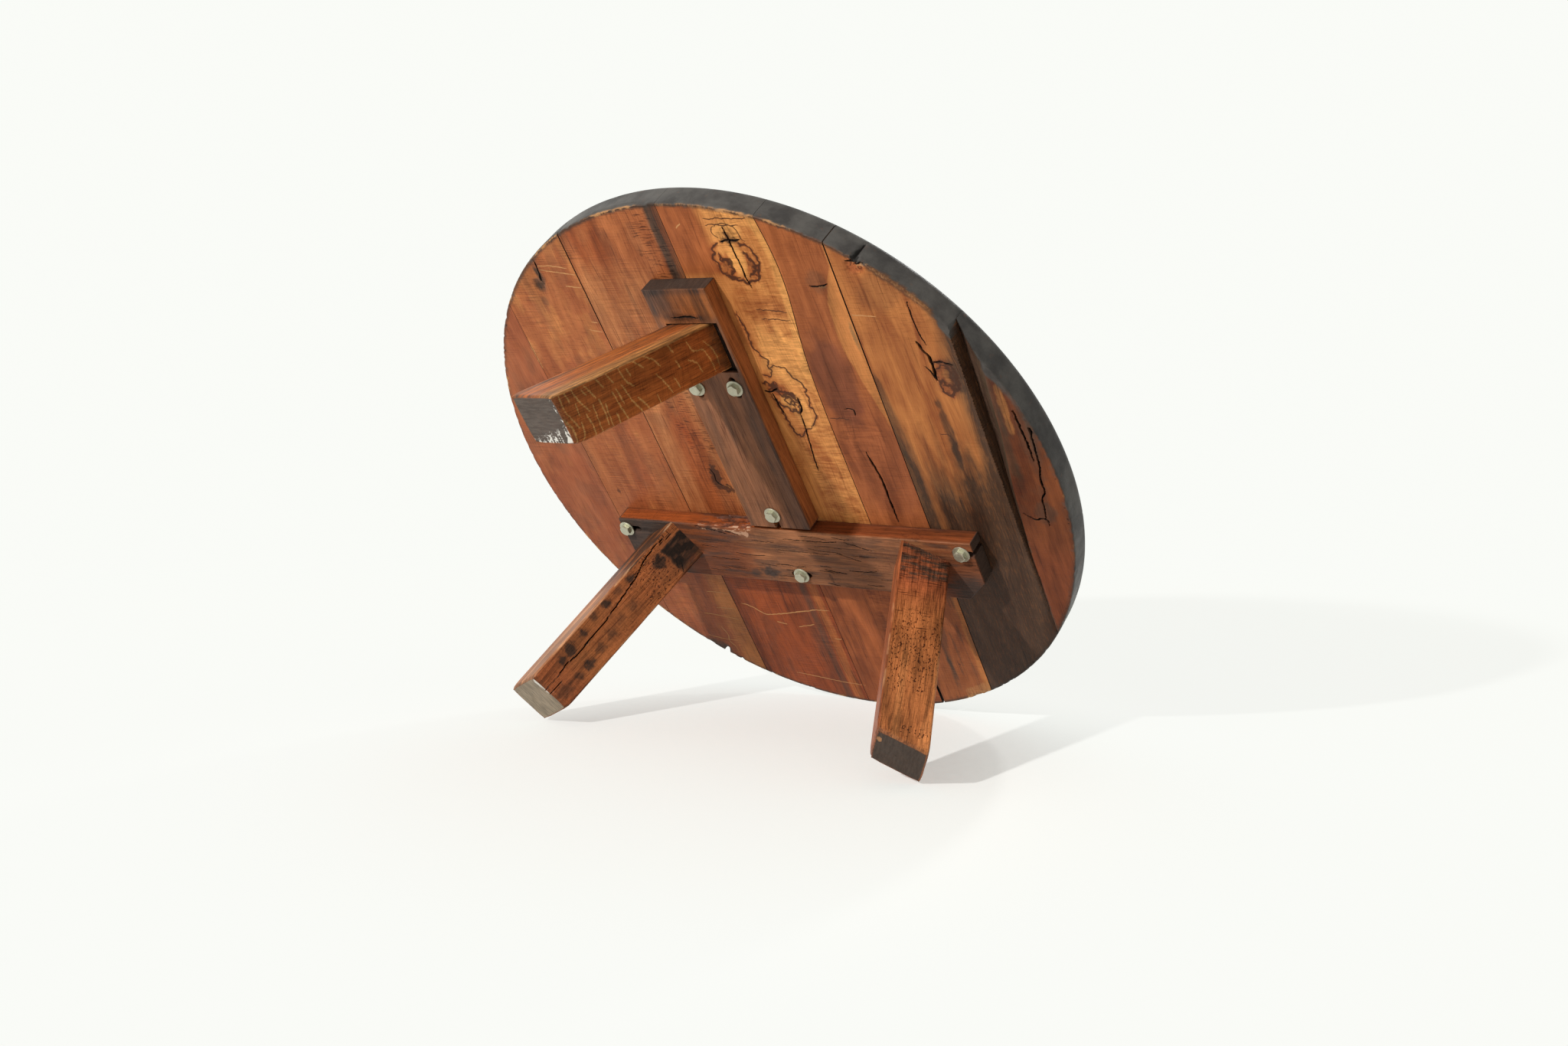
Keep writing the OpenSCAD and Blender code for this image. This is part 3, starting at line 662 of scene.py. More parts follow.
def rim_chips(x, y, level):
    """How far the worn rim stands in from its circle, in millimetres. level runs from 0 at the underside to 1 at the
    face."""
    a = np.arctan2(y, x)
    low = np.clip(1 - level * 5, 0, 1)
    small = 1.6 * smooth(0.55, 0.8, noise(a * 60, level * 4 + 3, 70, 3))
    chips = low * (small + 0.5 * noise(a * 130, level * 9, 71, 2))
    chips = chips + 0.25 * noise(a * 24, level * 3, 72, 2) + 0.5 * smooth(0.72, 0.85, noise(a * 40, level * 6, 73, 2))
    s = (a - NOTCH_ANGLE) * TOP_R
    notch = 12.5 * smooth(5.6, 3.4, np.abs(s)) * (0.85 + 0.2 * noise(s / 3, level * 5, 74, 2))
    notch = notch + 3.5 * smooth(3.4, 1.4, np.abs(s + 31)) * low
    return chips + notch + 6 * rim_split(a, level)


def rim_split(a, level):
    """Wedge-shaped split in the edge of the broad board, wide at the underside."""
    width = 1.5 + 4.0 * np.clip(1 - level / 0.6, 0, 1) ** 2
    return np.exp(-(((a - SPLIT_ANGLE) * TOP_R / width) ** 2)) * smooth(0.82, 0.66, level)


def board_rings(shell, i):
    """The edge of board i: rings from the underside to the face. Gives the first and the last, as (xy, indices)."""
    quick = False
    # share of the lower and of the upper rounding, height at the rim and height at the seams
    quarter = lambda n: np.linspace(0, math.pi / 2, n)
    profile = [(1 - math.sin(t), 0, ROUND_LOW * (1 - math.cos(t)), 0.9 * (1 - math.cos(t))) for t in quarter(4)]
    profile += [(0, 0, z, z - 2.0 * (z < 10))
                for z in ((12.0, 24.0) if quick else (6.0, 10.0, 14.0, 19.0, 24.0, 29.0, 33.0))]
    profile += [(0, 1 - math.cos(t), THICK - ROUND_HIGH + ROUND_HIGH * math.sin(t), THICK - 4 + 4 * math.sin(t))
                for t in quarter(4 if quick else 7)]
    step = 1.7 if i == 1 and not quick else 3.0
    rings = []
    for low, high, z_rim, z_seam in profile:
        xy, on_rim = board_outline(i, low + 0.6 * high, ROUND_LOW * low + ROUND_HIGH * high, step)
        touch = np.maximum(on_rim, np.roll(on_rim, 1))
        z = Z_UNDER + np.where(touch > 0, z_rim, z_seam)
        r = np.hypot(xy[:, 0], xy[:, 1])
        inwards = ROUND_HIGH - np.clip(TOP_R - r, 0, ROUND_HIGH)
        z = np.minimum(z, Z_TOP - ROUND_HIGH + np.sqrt(ROUND_HIGH**2 - inwards**2))
        level = (z - Z_UNDER) / THICK
        worn = touch * smooth(0, 14, np.abs(z - Z_TOP) + 4 * (high < 1))
        xy = xy * (1 - rim_chips(xy[:, 0], xy[:, 1], level) * worn / np.maximum(r, 1))[:, None]
        h = board_marks(xy[:, 0], xy[:, 1])["h"]
        # shallow relief fades out up the edge; the missing natural edge goes through
        fade = smooth(12, 0, np.where(h > 4, 0, level * THICK))
        z = np.maximum(z, np.minimum(Z_UNDER + h * fade, Z_TOP - 8))
        side = 1.0 if level.max() > 0 else 0.0
        rings.append((xy, shell.points(np.column_stack([xy, z]), touch=touch, side=side)))
    shell.bands([idx for _, idx in rings])
    return rings[0], rings[-1]


def board_piece(i, material):
    """Board i, counted from 0: its two faces and its edges as one closed shell."""
    step = 2.7
    shell = Shell()
    bottom, top = board_rings(shell, i)

    def within(p, margin):
        """Points clear of the rim, of the notch in it and of the seams."""
        x, y = p.T
        clear = (np.hypot(x, y) < TOP_R - margin - 2.2) & (np.hypot(x - 278, y + 413) > 17)
        for k, side in ((i - 1, 1), (i, -1)):
            if 0 <= k <= 5:
                clear &= side * (seam_x(k, y) - x) > 0.25 + margin * 0.4 + seam_open(k, y) + SEAM_ARRIS[k]
        return clear

    lo, hi = bottom[0].min(0), bottom[0].max(0)
    for face, (xy, idx), grid, margin in ((False, bottom, step, 4.2), (True, top, step * 1.7, 13.5)):
        margin += grid * 0.3
        p = scatter(lo, hi, grid, 11 + i)
        p = p[within(p, margin)]
        rows = mark_rows(CRACKS + LINES + ([] if face else SCRATCHES), lambda q: within(q, margin))
        if i == 6 and not face:
            y = np.arange(-250, 300, 2.0)
            w = WANE_WIDTH * along_y(y, WANE)
            extra = np.vstack([np.stack([SEAM_X[5] - w * k, y], 1) for k in (0.25, 0.5, 0.75, 0.93, 1.0, 1.06)])
            rows = thinned(np.vstack([rows, extra[within(extra, margin)]]), 0.8)
        p = np.vstack([clear_of(p, rows, grid * 0.5), rows])
        h = board_marks(p[:, 0], p[:, 1], face)["h"]
        shell.fill(xy, idx, p, Z_TOP - 0.02 - h * 0.8 if face else Z_UNDER + h, not face, face=float(face))
    v, extra = shell.data()
    x, y, height = v[:, 0], v[:, 1], v[:, 2] - Z_UNDER
    side, touch = extra["side"], extra["touch"]
    under, upper = board_marks(x, y), board_marks(x, y, True)
    blend = np.where(extra["face"] > 0.5, 1.0, smooth(2, 20, height) * (side > 0))
    m = {k: under[k] * (1 - blend) + upper[k] * blend for k in under}
    # the black stain of the rim, with its two ragged edges
    angle = np.degrees(np.arctan2(y, x))
    bare = 0.6 + 4.5 * smooth(128, 132, angle) * smooth(142.8, 140.5, angle)
    stained = touch * smooth(bare - 0.4, bare + 1.6, height + 3 * (noise(x / 6, y / 6, 80, 3) - 0.5))
    m["rim"] = np.maximum(m["rim"] * (height < 3), stained)
    m["pale"] = np.maximum(m["pale"], 0.42 * touch * (bare > 3) * smooth(8, 4, height) * (side > 0))
    upper_rim = TOP_R - ROUND_HIGH - np.hypot(x, y) + 3 * (noise(x / 16, y / 16, 81, 3) - 0.5)
    m["rim"] = np.maximum(m["rim"], smooth(3.5, 0.5, upper_rim) * (height > 40))
    # dark insides of the seams, of the split and of a joint in the edge of the fourth board
    split = smooth(0.1, 0.4, rim_split(np.radians(angle), height / THICK))
    joint = 0.8 * (i == 3) * smooth(2.2, 0.6, np.abs(x + 1)) * (y > 400)
    gaps = side * np.maximum(0.85 * (1 - touch), touch * np.maximum(split, joint))
    m["dark"] = np.maximum(m["dark"] * (1 - side * touch), gaps)
    m["end"] = touch * np.abs(y) / np.maximum(np.hypot(x, y), 1)
    layers = mask_layers(m, np.column_stack([warped_grain(x, y), y, height]) * MM)
    return make_piece(f"board_{i + 1}_planked", f"top_board_{i + 1}", shell, layers, material)


# ---- node trees ----
class Graph:
    """Short forms for building a node tree."""

    def __init__(self, tree):
        self.tree = tree

    def feed(self, socket, value):
        """Links a socket or sets a constant. A colour of three numbers is opaque."""
        if isinstance(value, bpy.types.NodeSocket):
            self.tree.links.new(value, socket)
        elif value is not None:
            socket.default_value = (*value, 1) if socket.type == "RGBA" and len(value) == 3 else value

    def give(self, sockets, **values):
        """Feeds sockets by their names, with _ for a space."""
        for key, value in values.items():
            self.feed(sockets[key.replace("_", " ")], value)

    def add(self, kind, inputs=(), **settings):
        node = self.tree.nodes.new("ShaderNode" + kind)
        for key, value in settings.items():
            setattr(node, key, value)
        for key, value in dict(inputs).items():
            self.feed(node.inputs[key], value)
        return node

    def math(self, op, a, b=None, c=None, clamp=False):
        node = self.add("Math", operation=op, use_clamp=clamp)
        for socket, value in zip(node.inputs, (a, b, c)):
            self.feed(socket, value)
        return node.outputs[0]

    def mul(self, a, b):
        return self.math("MULTIPLY", a, b)

    def plus(self, a, b):
        return self.math("ADD", a, b)

    def minus(self, a, b):
        return self.math("SUBTRACT", a, b)

    def vec(self, op, a, b):
        return self.add("VectorMath", {0: a, 1: b}, operation=op).outputs[0]

    def mix(self, factor, a, b, blend="MIX", clamp=True):
        node = self.add("Mix", {0: factor, 6: a, 7: b}, data_type="RGBA", blend_type=blend, clamp_factor=clamp)
        return node.outputs[2]

    def times(self, factor, colour, by):
        """Multiplies a colour by another where factor is 1."""
        return self.mix(factor, colour, self.mix(1.0, colour, by, "MULTIPLY"))

    def noise(self, vector, scale, detail=2.0, rough=0.5, distort=0.0):
        inputs = {"Vector": vector, "Scale": scale, "Detail": detail, "Roughness": rough, "Distortion": distort}
        return self.add("TexNoise", inputs).outputs[0]

    def long_noise(self, vector, across, along, detail=2.0, rough=0.5, distort=0.0):
        """Noise with one scale across the grain and another along it."""
        return self.noise(self.vec("MULTIPLY", vector, (across, along, across)), 1.0, detail, rough, distort)

    def span(self, value, a, b, c=0.0, d=1.0, smoothly=True):
        """Maps a..b to c..d, clamped."""
        kind = "SMOOTHSTEP" if smoothly else "LINEAR"
        return self.add("MapRange", {0: value, 1: a, 2: b, 3: c, 4: d}, interpolation_type=kind).outputs[0]

    def parts(self, vector):
        return self.add("SeparateXYZ", {0: vector}).outputs[:3]

    def joined(self, x, y, z):
        return self.add("CombineXYZ", {0: x, 1: y, 2: z}).outputs[0]

    def rgb(self, r, g, b):
        return self.add("CombineColor", {0: r, 1: g, 2: b}).outputs[0]

    def layer(self, name):
        return self.add("Attribute", attribute_name=name).outputs["Vector"]

    def principled(self):
        """The main shader, joined to the output. Gives its inputs."""
        shader = self.add("BsdfPrincipled")
        self.add("OutputMaterial", {"Surface": shader.outputs[0]})
        return shader.inputs

    def group(self, tree, **inputs):
        node = self.add("Group", node_tree=tree)
        for key, value in inputs.items():
            self.feed(node.inputs[key.replace("_", " ").title()], value)
        return node.outputs


def new_group(name, inputs, outputs):
    """An empty node group with named sockets, and its graph, inputs and outputs. An input's value gives its kind."""
    tree = bpy.data.node_groups.new(name, "ShaderNodeTree")
    kinds = {float: "NodeSocketFloat", tuple: "NodeSocketColor", type(None): "NodeSocketVector"}
    for label, value in inputs.items():
        socket = tree.interface.new_socket(label, in_out="INPUT", socket_type=kinds[type(value)])
        if value:
            socket.default_value = (*value, 1) if isinstance(value, tuple) else value
    for label in outputs:
        kind = "NodeSocketColor" if label == "Color" else "NodeSocketFloat"
        tree.interface.new_socket(label, in_out="OUTPUT", socket_type=kind)
    start, end = tree.nodes.new("NodeGroupInput"), tree.nodes.new("NodeGroupOutput")
    return tree, Graph(tree), start.outputs, end.inputs


# colours of the marks on wood, where a material has none of its own
END_TINT, STAIN, SAP = (0.05, 0.03, 0.02), (0.06, 0.036, 0.024), (0.58, 0.24, 0.07)
HEART, RAW = (0.30, 0.070, 0.024), (0.50, 0.25, 0.10)


def timber_group():
    """Long-grained timber: growth rings, streaks, fibre, dark vessel lines and a curly figure."""
    tree, g, i, o = new_group(
        "Timber grain",
        {"Place": None, "Pale": (0.5, 0.2, 0.06), "Deep": (0.2, 0.05, 0.015), "Ring Gap": 0.009, "Rings": 0.4,
         "Streaks": 0.6, "Fibre": 0.5, "Figure": 0.0, "Blotches": 0.4, "Vessels": 0.5, "Seed": 0.0},
        ("Color", "Grain", "Height"))
    shift = g.joined(g.mul(i["Seed"], 0.37), g.mul(i["Seed"], 1.3), g.mul(i["Seed"], 0.11))
    p = g.vec("ADD", i["Place"], shift)
    slow = g.add("TexNoise", {"Vector": g.vec("MULTIPLY", p, (9.0, 1.6, 9.0)), "Scale": 1.0, "Detail": 3.0})
    sway = g.vec("MULTIPLY", g.vec("SUBTRACT", slow.outputs[1], (0.5, 0.5, 0.5)), (0.03, 0.0, 0.03))
    bent = g.vec("ADD", p, sway)
    x, y, z = g.parts(bent)
    # rings about a pith that lies beside the board and drifts along it
    away = g.joined(g.plus(g.math("PINGPONG", g.plus(x, 0.5), 0.11), g.mul(y, 0.02)), 0.0,
                    g.plus(z, g.plus(0.05, g.mul(y, 0.035))))
    radius = g.add("VectorMath", {0: away}, operation="LENGTH").outputs["Value"]
    ring = g.math("FRACT", g.math("DIVIDE", radius, i["Ring Gap"]))
    ring = g.mul(g.span(ring, 0.0, 0.75), g.span(ring, 1.0, 0.86))

    def wave(lo, hi, *shape):
        """Noise about 0, from -0.5 at lo to 0.5 at hi."""
        return g.minus(g.span(g.long_noise(bent, *shape), lo, hi, smoothly=False), 0.5)

    fibre_raw = g.long_noise(bent, 560.0, 20.0, 3.0, 0.7)
    fibre = g.minus(g.span(fibre_raw, 0.25, 0.75, smoothly=False), 0.5)
    t = g.plus(0.5, g.mul(g.minus(ring, 0.5), g.mul(i["Rings"], -0.5)))
    for layer, amount in (
            (wave(0.28, 0.72, 95.0, 2.6, 4.0, 0.62), g.mul(i["Streaks"], 0.8)),
            (wave(0.32, 0.68, 24.0, 1.4, 3.0, 0.5), g.mul(i["Streaks"], 0.7)),
            (fibre, g.mul(i["Fibre"], 0.65)),
            (wave(0.3, 0.7, 17.0, 9.0, 5.0, 0.62, 0.4), i["Blotches"]),
            (wave(0.3, 0.7, 26.0, 110.0, 3.0, 0.6, 1.2), g.mul(i["Figure"], 0.7))):
        t = g.plus(t, g.mul(layer, amount))
    t = g.math("MAXIMUM", g.math("MINIMUM", t, 1.25), 0.0)
    colour = g.mix(t, i["Deep"], i["Pale"], clamp=False)
    pore = g.span(g.long_noise(bent, 900.0, 30.0, 1.0), 0.6, 0.7)
    vessel = g.span(g.long_noise(bent, 330.0, 6.5, 2.0, 0.55), 0.6, 0.7)
    hollow = g.math("MAXIMUM", g.mul(pore, g.mul(i["Fibre"], 0.7)), g.mul(vessel, i["Vessels"]), clamp=True)
    colour = g.times(g.mul(hollow, 0.8), colour, (0.35, 0.26, 0.24))
    g.give(o, Color=colour, Grain=t, Height=g.minus(g.mul(fibre_raw, 0.6), g.mul(hollow, 0.5)))
    return tree


def marks_group():
    """Lays sapwood, red heartwood, stain, knots, cracks, burnt specks and raw wood over a wood colour."""
    tree, g, i, o = new_group(
        "Marks on wood",
        {"Color": (0.0, 0.0, 0.0), "Place": None, "Wear": None, "Tone": None, "Spot": None, "Sapwood": SAP,
         "Heartwood": HEART, "Raw": RAW, "Evenness": 5.0, "Stain": STAIN, "Knot": (0.062, 0.024, 0.013)},
        ("Color", "Dark", "Raw", "Stained"))
    dark, line, pale = g.parts(i["Wear"])
    sap, stain, olive = g.parts(i["Tone"])
    saw, speck, red = g.parts(i["Spot"])
    fine = g.long_noise(i["Place"], 420.0, 60.0, 3.0, 0.6)
    grit = g.noise(i["Place"], 260.0, 3.0, 0.65)

    def shaken(mask, noise, by):
        return g.math("ADD", mask, g.mul(g.minus(noise, 0.5), by), clamp=True)

    def ragged(mask, noise, by, lo, hi, least, sure):
        """A mask with a ragged edge, and nothing where the mask itself is almost empty."""
        return g.mul(g.span(shaken(mask, noise, by), lo, hi), g.span(mask, least, sure))

    # tints keep the grain under them: the wood is turned towards the tint in proportion
    level = g.add("RGBToBW", {0: i["Color"]}).outputs[0]
    level = g.math("MINIMUM", g.mul(level, i["Evenness"]), 1.7)
    own = g.rgb(level, level, level)

    def tint(base, mask, colour):
        return g.mix(mask, base, g.mix(1.0, colour, own, "MULTIPLY"))

    colour = tint(i["Color"], g.mul(red, 0.9), i["Heartwood"])
    colour = tint(colour, g.mul(g.mul(sap, g.span(shaken(sap, fine, 0.5), 0.1, 0.5)), 0.92), i["Sapwood"])
    stained = g.mul(shaken(stain, fine, g.mul(stain, 0.8)), 0.96)
    colour = tint(colour, stained, i["Stain"])
    colour = g.mix(g.mul(olive, 0.8), colour, (0.15, 0.115, 0.055))
    colour = g.mix(g.mul(ragged(line, grit, 0.7, 0.25, 0.85, 0.0, 0.15), 0.92), colour, i["Knot"])
    raw = ragged(pale, fine, 0.7, 0.3, 0.85, 0.02, 0.2)
    colour = g.mix(raw, colour, i["Raw"])
    specks = g.span(g.long_noise(i["Place"], 400.0, 230.0, 2.0, 0.6), 0.57, 0.63)
    lines = g.span(g.long_noise(i["Place"], 48.0, 480.0, 2.0, 0.55), 0.54, 0.63)
    burnt = g.math("MAXIMUM", g.mul(specks, speck), g.mul(g.mul(lines, saw), 0.8), clamp=True)
    colour = g.times(burnt, colour, (0.16, 0.12, 0.11))
    deep = ragged(dark, grit, 0.4, 0.25, 0.85, 0.02, 0.2)
    colour = g.mix(deep, colour, (0.011, 0.007, 0.005))
    g.give(o, Color=colour, Dark=deep, Raw=raw, Stained=stained)
    return tree


def finish_group():
    """Waxed or oiled surface: dull and shiny patches, fine scratches and cross saw lines."""
    tree, g, i, o = new_group(
        "Waxed surface",
        {"Place": None, "Color": (0.0, 0.0, 0.0), "Roughness": 0.42, "Saw Lines": 0.3, "Scuffs": 0.3, "Dull": 0.0},
        ("Color", "Roughness", "Height"))
    cloud = g.noise(i["Place"], 38.0, 4.0, 0.6)
    saw = g.span(g.long_noise(i["Place"], 14.0, 560.0, 2.0, 0.6), 0.25, 0.75, smoothly=False)
    where = g.span(g.noise(i["Place"], 11.0, 3.0, 0.6), 0.44, 0.62)
    saw = g.mul(g.mul(g.minus(saw, 0.5), where), i["Saw Lines"])
    scuff = g.long_noise(i["Place"], 30.0, 300.0, 3.0, 0.7, 0.8)
    scuffed = g.mul(g.span(scuff, 0.66, 0.76), g.span(g.noise(i["Place"], 7.0, 2.0), 0.45, 0.7))
    scuffed = g.mul(scuffed, i["Scuffs"])
    colour = g.times(g.math("MULTIPLY", saw, 1.6, clamp=True), i["Color"], (1.5, 1.45, 1.4))
    colour = g.times(g.math("MULTIPLY", saw, -1.6, clamp=True), colour, (0.42, 0.36, 0.34))
    colour = g.mix(g.mul(scuffed, 0.5), colour, (0.46, 0.24, 0.10))
    rough = g.plus(i["Roughness"], g.mul(g.minus(cloud, 0.5), 0.28))
    rough = g.math("ADD", rough, g.plus(g.mul(scuffed, 0.15), i["Dull"]), clamp=True)
    g.give(o, Color=colour, Roughness=rough, Height=g.plus(saw, g.mul(cloud, 0.2)))
    return tree


GROUPS = {}


def groups():
    """The shared node groups, built once."""
    if not GROUPS:
        GROUPS.update(timber=timber_group(), marks=marks_group(), finish=finish_group())
    return GROUPS


def new_material(name):
    """An empty material and its graph."""
    m = bpy.data.materials.new(name)
    m.use_nodes = True
    m.node_tree.nodes.clear()
    return m, Graph(m.node_tree)


def shade(colour, *k):
    """A colour made darker or lighter by one factor, or by a factor for each channel."""
    return tuple(c * f for c, f in zip(colour, k * 3 if len(k) == 1 else k))


def wood_material(name, pale, deep, rings=0.4, gap=0.009, streaks=0.6, fibre=0.5, blotches=0.4, vessels=0.5, seed=0.0,
                  rough=0.45, saw=0.3, scuffs=0.3, end_tint=END_TINT, stain=STAIN, sap=SAP, heart=HEART, raw=RAW,
                  paint=None, own_place=False):
    """A wood finish: grain, marks, wax, sawn end grain and the black-stained rim."""
    G = groups()
    m, g = new_material(name)
    shader = g.principled()
    place = g.add("TexCoord").outputs["Object"] if own_place else g.layer("place")
    figure, end, rim = g.parts(g.layer("zone"))
    grain = g.group(G["timber"], place=place, pale=pale, deep=deep, ring_gap=gap, rings=rings, streaks=streaks,
                    fibre=fibre, figure=figure, blotches=blotches, vessels=vessels, seed=seed)
    luma = sum(k * (a + b) for k, a, b in zip((0.2126, 0.7152, 0.0722), pale, deep))
    marked = g.group(G["marks"], color=grain["Color"], place=place, wear=g.layer("wear"), tone=g.layer("tone"),
                     spot=g.layer("spot"), sapwood=sap, raw=raw, stain=stain, heartwood=heart, evenness=2.0 / luma)
    dull = g.plus(g.mul(marked["Raw"], 0.25), g.mul(marked["Dark"], 0.3))
    waxed = g.group(G["finish"], place=place, color=marked["Color"], roughness=rough, saw_lines=saw, scuffs=scuffs,
                    dull=dull)
    # sawn end grain, stained or painted
    spots = g.noise(g.vec("MULTIPLY", place, (300.0, 300.0, 60.0)), 1.0, 4.0, 0.6)
    sawn = g.mix(g.span(spots, 0.3, 0.7), shade(end_tint, 0.72), shade(end_tint, 1.28))
    sawn = g.mix(g.mul(marked["Stained"], 0.6), sawn, shade(end_tint, 0.5))
    colour = g.mix(g.mul(end, 0.96), waxed["Color"], g.mix(g.mul(marked["Raw"], 0.9), sawn, paint or raw))
    # black rim with worn places
    wear = g.span(g.noise(place, 70.0, 5.0, 0.7), 0.6, 0.72)
    cloudy = g.span(g.noise(place, 23.0, 4.0, 0.6), 0.3, 0.7)
    black = g.mix(cloudy, (0.041, 0.036, 0.033), (0.094, 0.085, 0.076))
    black = g.mix(g.mul(wear, 0.65), black, (0.12, 0.066, 0.045))
    colour = g.mix(rim, colour, g.mix(g.mul(marked["Dark"], 0.8), black, (0.008, 0.007, 0.006)))
    height = g.plus(grain["Height"], waxed["Height"])
    bump = g.add("Bump", {"Strength": 0.4, "Distance": 0.0006, "Height": height})
    g.give(shader, Base_Color=colour, Roughness=waxed["Roughness"], Specular_IOR_Level=0.14, Normal=bump.outputs[0])
    return m


def zinc_material(name):
    """Dull zinc plate with a green-grey cast and small stains."""
    m, g = new_material(name)
    shader = g.principled()
    p = g.add("TexCoord").outputs["Object"]
    cloud = g.noise(p, 160.0, 4.0, 0.6)
    speck = g.span(g.noise(p, 700.0, 2.0, 0.6), 0.6, 0.72)
    colour = g.mix(cloud, (0.34, 0.34, 0.25), (0.62, 0.60, 0.46))
    colour = g.mix(g.mul(speck, 0.35), colour, (0.15, 0.13, 0.09))
    bump = g.add("Bump", {"Strength": 0.2, "Distance": 0.0002, "Height": g.noise(p, 900.0, 3.0, 0.6)})
    g.give(shader, Base_Color=colour, Metallic=0.75, Roughness=g.span(cloud, 0.3, 0.8, 0.34, 0.56),
           Normal=bump.outputs[0])
    return m


# ---- beams ----
def offset(loop, dist):
    """Moves a closed outline, counter-clockwise, inwards by a distance for each of its edges."""
    dist = np.broadcast_to(np.asarray(dist, float), (len(loop),))
    e = np.roll(loop, -1, 0) - loop
    e /= np.maximum(np.hypot(*e.T), 1e-9)[:, None]
    n = np.stack([-e[:, 1], e[:, 0]], 1)
    n0, d0, e0 = np.roll(n, 1, 0), np.roll(dist, 1), np.roll(e, 1, 0)
    cross = e0[:, 0] * e[:, 1] - e0[:, 1] * e[:, 0]
    mean = n0 + n
    mean /= np.maximum((mean * n).sum(1), 0.3)[:, None]
    flat = loop + mean * ((dist + d0) / 2)[:, None]
    a, b = loop + n0 * d0[:, None], loop + n * dist[:, None]
    with np.errstate(divide="ignore", invalid="ignore"):
        t = ((b - a)[:, 0] * e[:, 1] - (b - a)[:, 1] * e[:, 0]) / cross
    sharp = np.abs(cross) > 0.2
    return np.where(sharp[:, None], a + e0 * np.where(sharp, t, 0)[:, None], flat)


def densify(path, step):
    """Points along an open path at about even steps, its corners kept."""
    out = []
    for a, b in zip(path[:-1], path[1:]):
        n = max(1, int(round(np.hypot(*(b - a)) / step)))
        out.append(a + (b - a) * np.arange(n)[:, None] / n)
    return np.vstack(out + [path[-1:]])


def along(loop, step):
    """Points along a closed outline at about even steps, its corners kept."""
    return densify(np.vstack([loop, loop[:1]]), step)[:-1]


def slot_path(screw, mouth=None):
    """Outline of a screw's slot. With mouth, the coordinate of the beam's end that it breaks out of, the open path."""
    x, y, axis, shift, _ = screw
    c = np.array([x, y], float)
    c[axis] += shift
    p = []
    for sign in (1, -1):
        for a in map(math.radians, np.linspace(-90, 90, 13)):
            run, side = sign * (SLOT_RUN + SLOT_W / 2 * math.cos(a)), sign * SLOT_W / 2 * math.sin(a)
            p.append((run, side) if axis == 0 else (-side, run))
    p = np.array(p) + c
    if mouth is None:
        return p
    end = math.copysign(1, mouth - c[axis])
    keep = (p[:, axis] - mouth) * end < 0
    k = int(np.nonzero(~keep)[0][-1]) + 1
    p, keep = np.roll(p, -k, 0), np.roll(keep, -k)
    p = p[keep]
    half = math.sqrt((SLOT_W / 2) ** 2 - (abs(mouth - c[axis]) - SLOT_RUN) ** 2)
    first, last = p[0].copy(), p[-1].copy()
    for q in (first, last):
        q[axis] = mouth
        q[1 - axis] = c[1 - axis] + math.copysign(half, q[1 - axis] - c[1 - axis])
    return np.vstack([first, p, last])


def lean(az):
    """Unit vectors, seen from above, along and across the lean of a leg."""
    a = math.radians(az)
    return np.array([math.cos(a), math.sin(a), 0.0]), np.array([-math.sin(a), math.cos(a), 0.0])


def root_square(az, half_u, half_v, u0=0.0, v0=0.0):
    """Counter-clockwise rectangle about a leg's root, along and across its lean."""
    u, v = (w[:2] for w in lean(az))
    c = u * (ROOT_R + u0) + v * v0
    return np.array([c + u * half_u * p + v * half_v * q for p, q in ((-1, -1), (1, -1), (1, 1), (-1, 1))])


SLOT_RINGS = ((-0.7, 0.0), (-0.25, 0.25), (0.0, 0.8), (0.0, 10.0), (0.0, 20.0), (0.0, 29.6))  # inwards, up


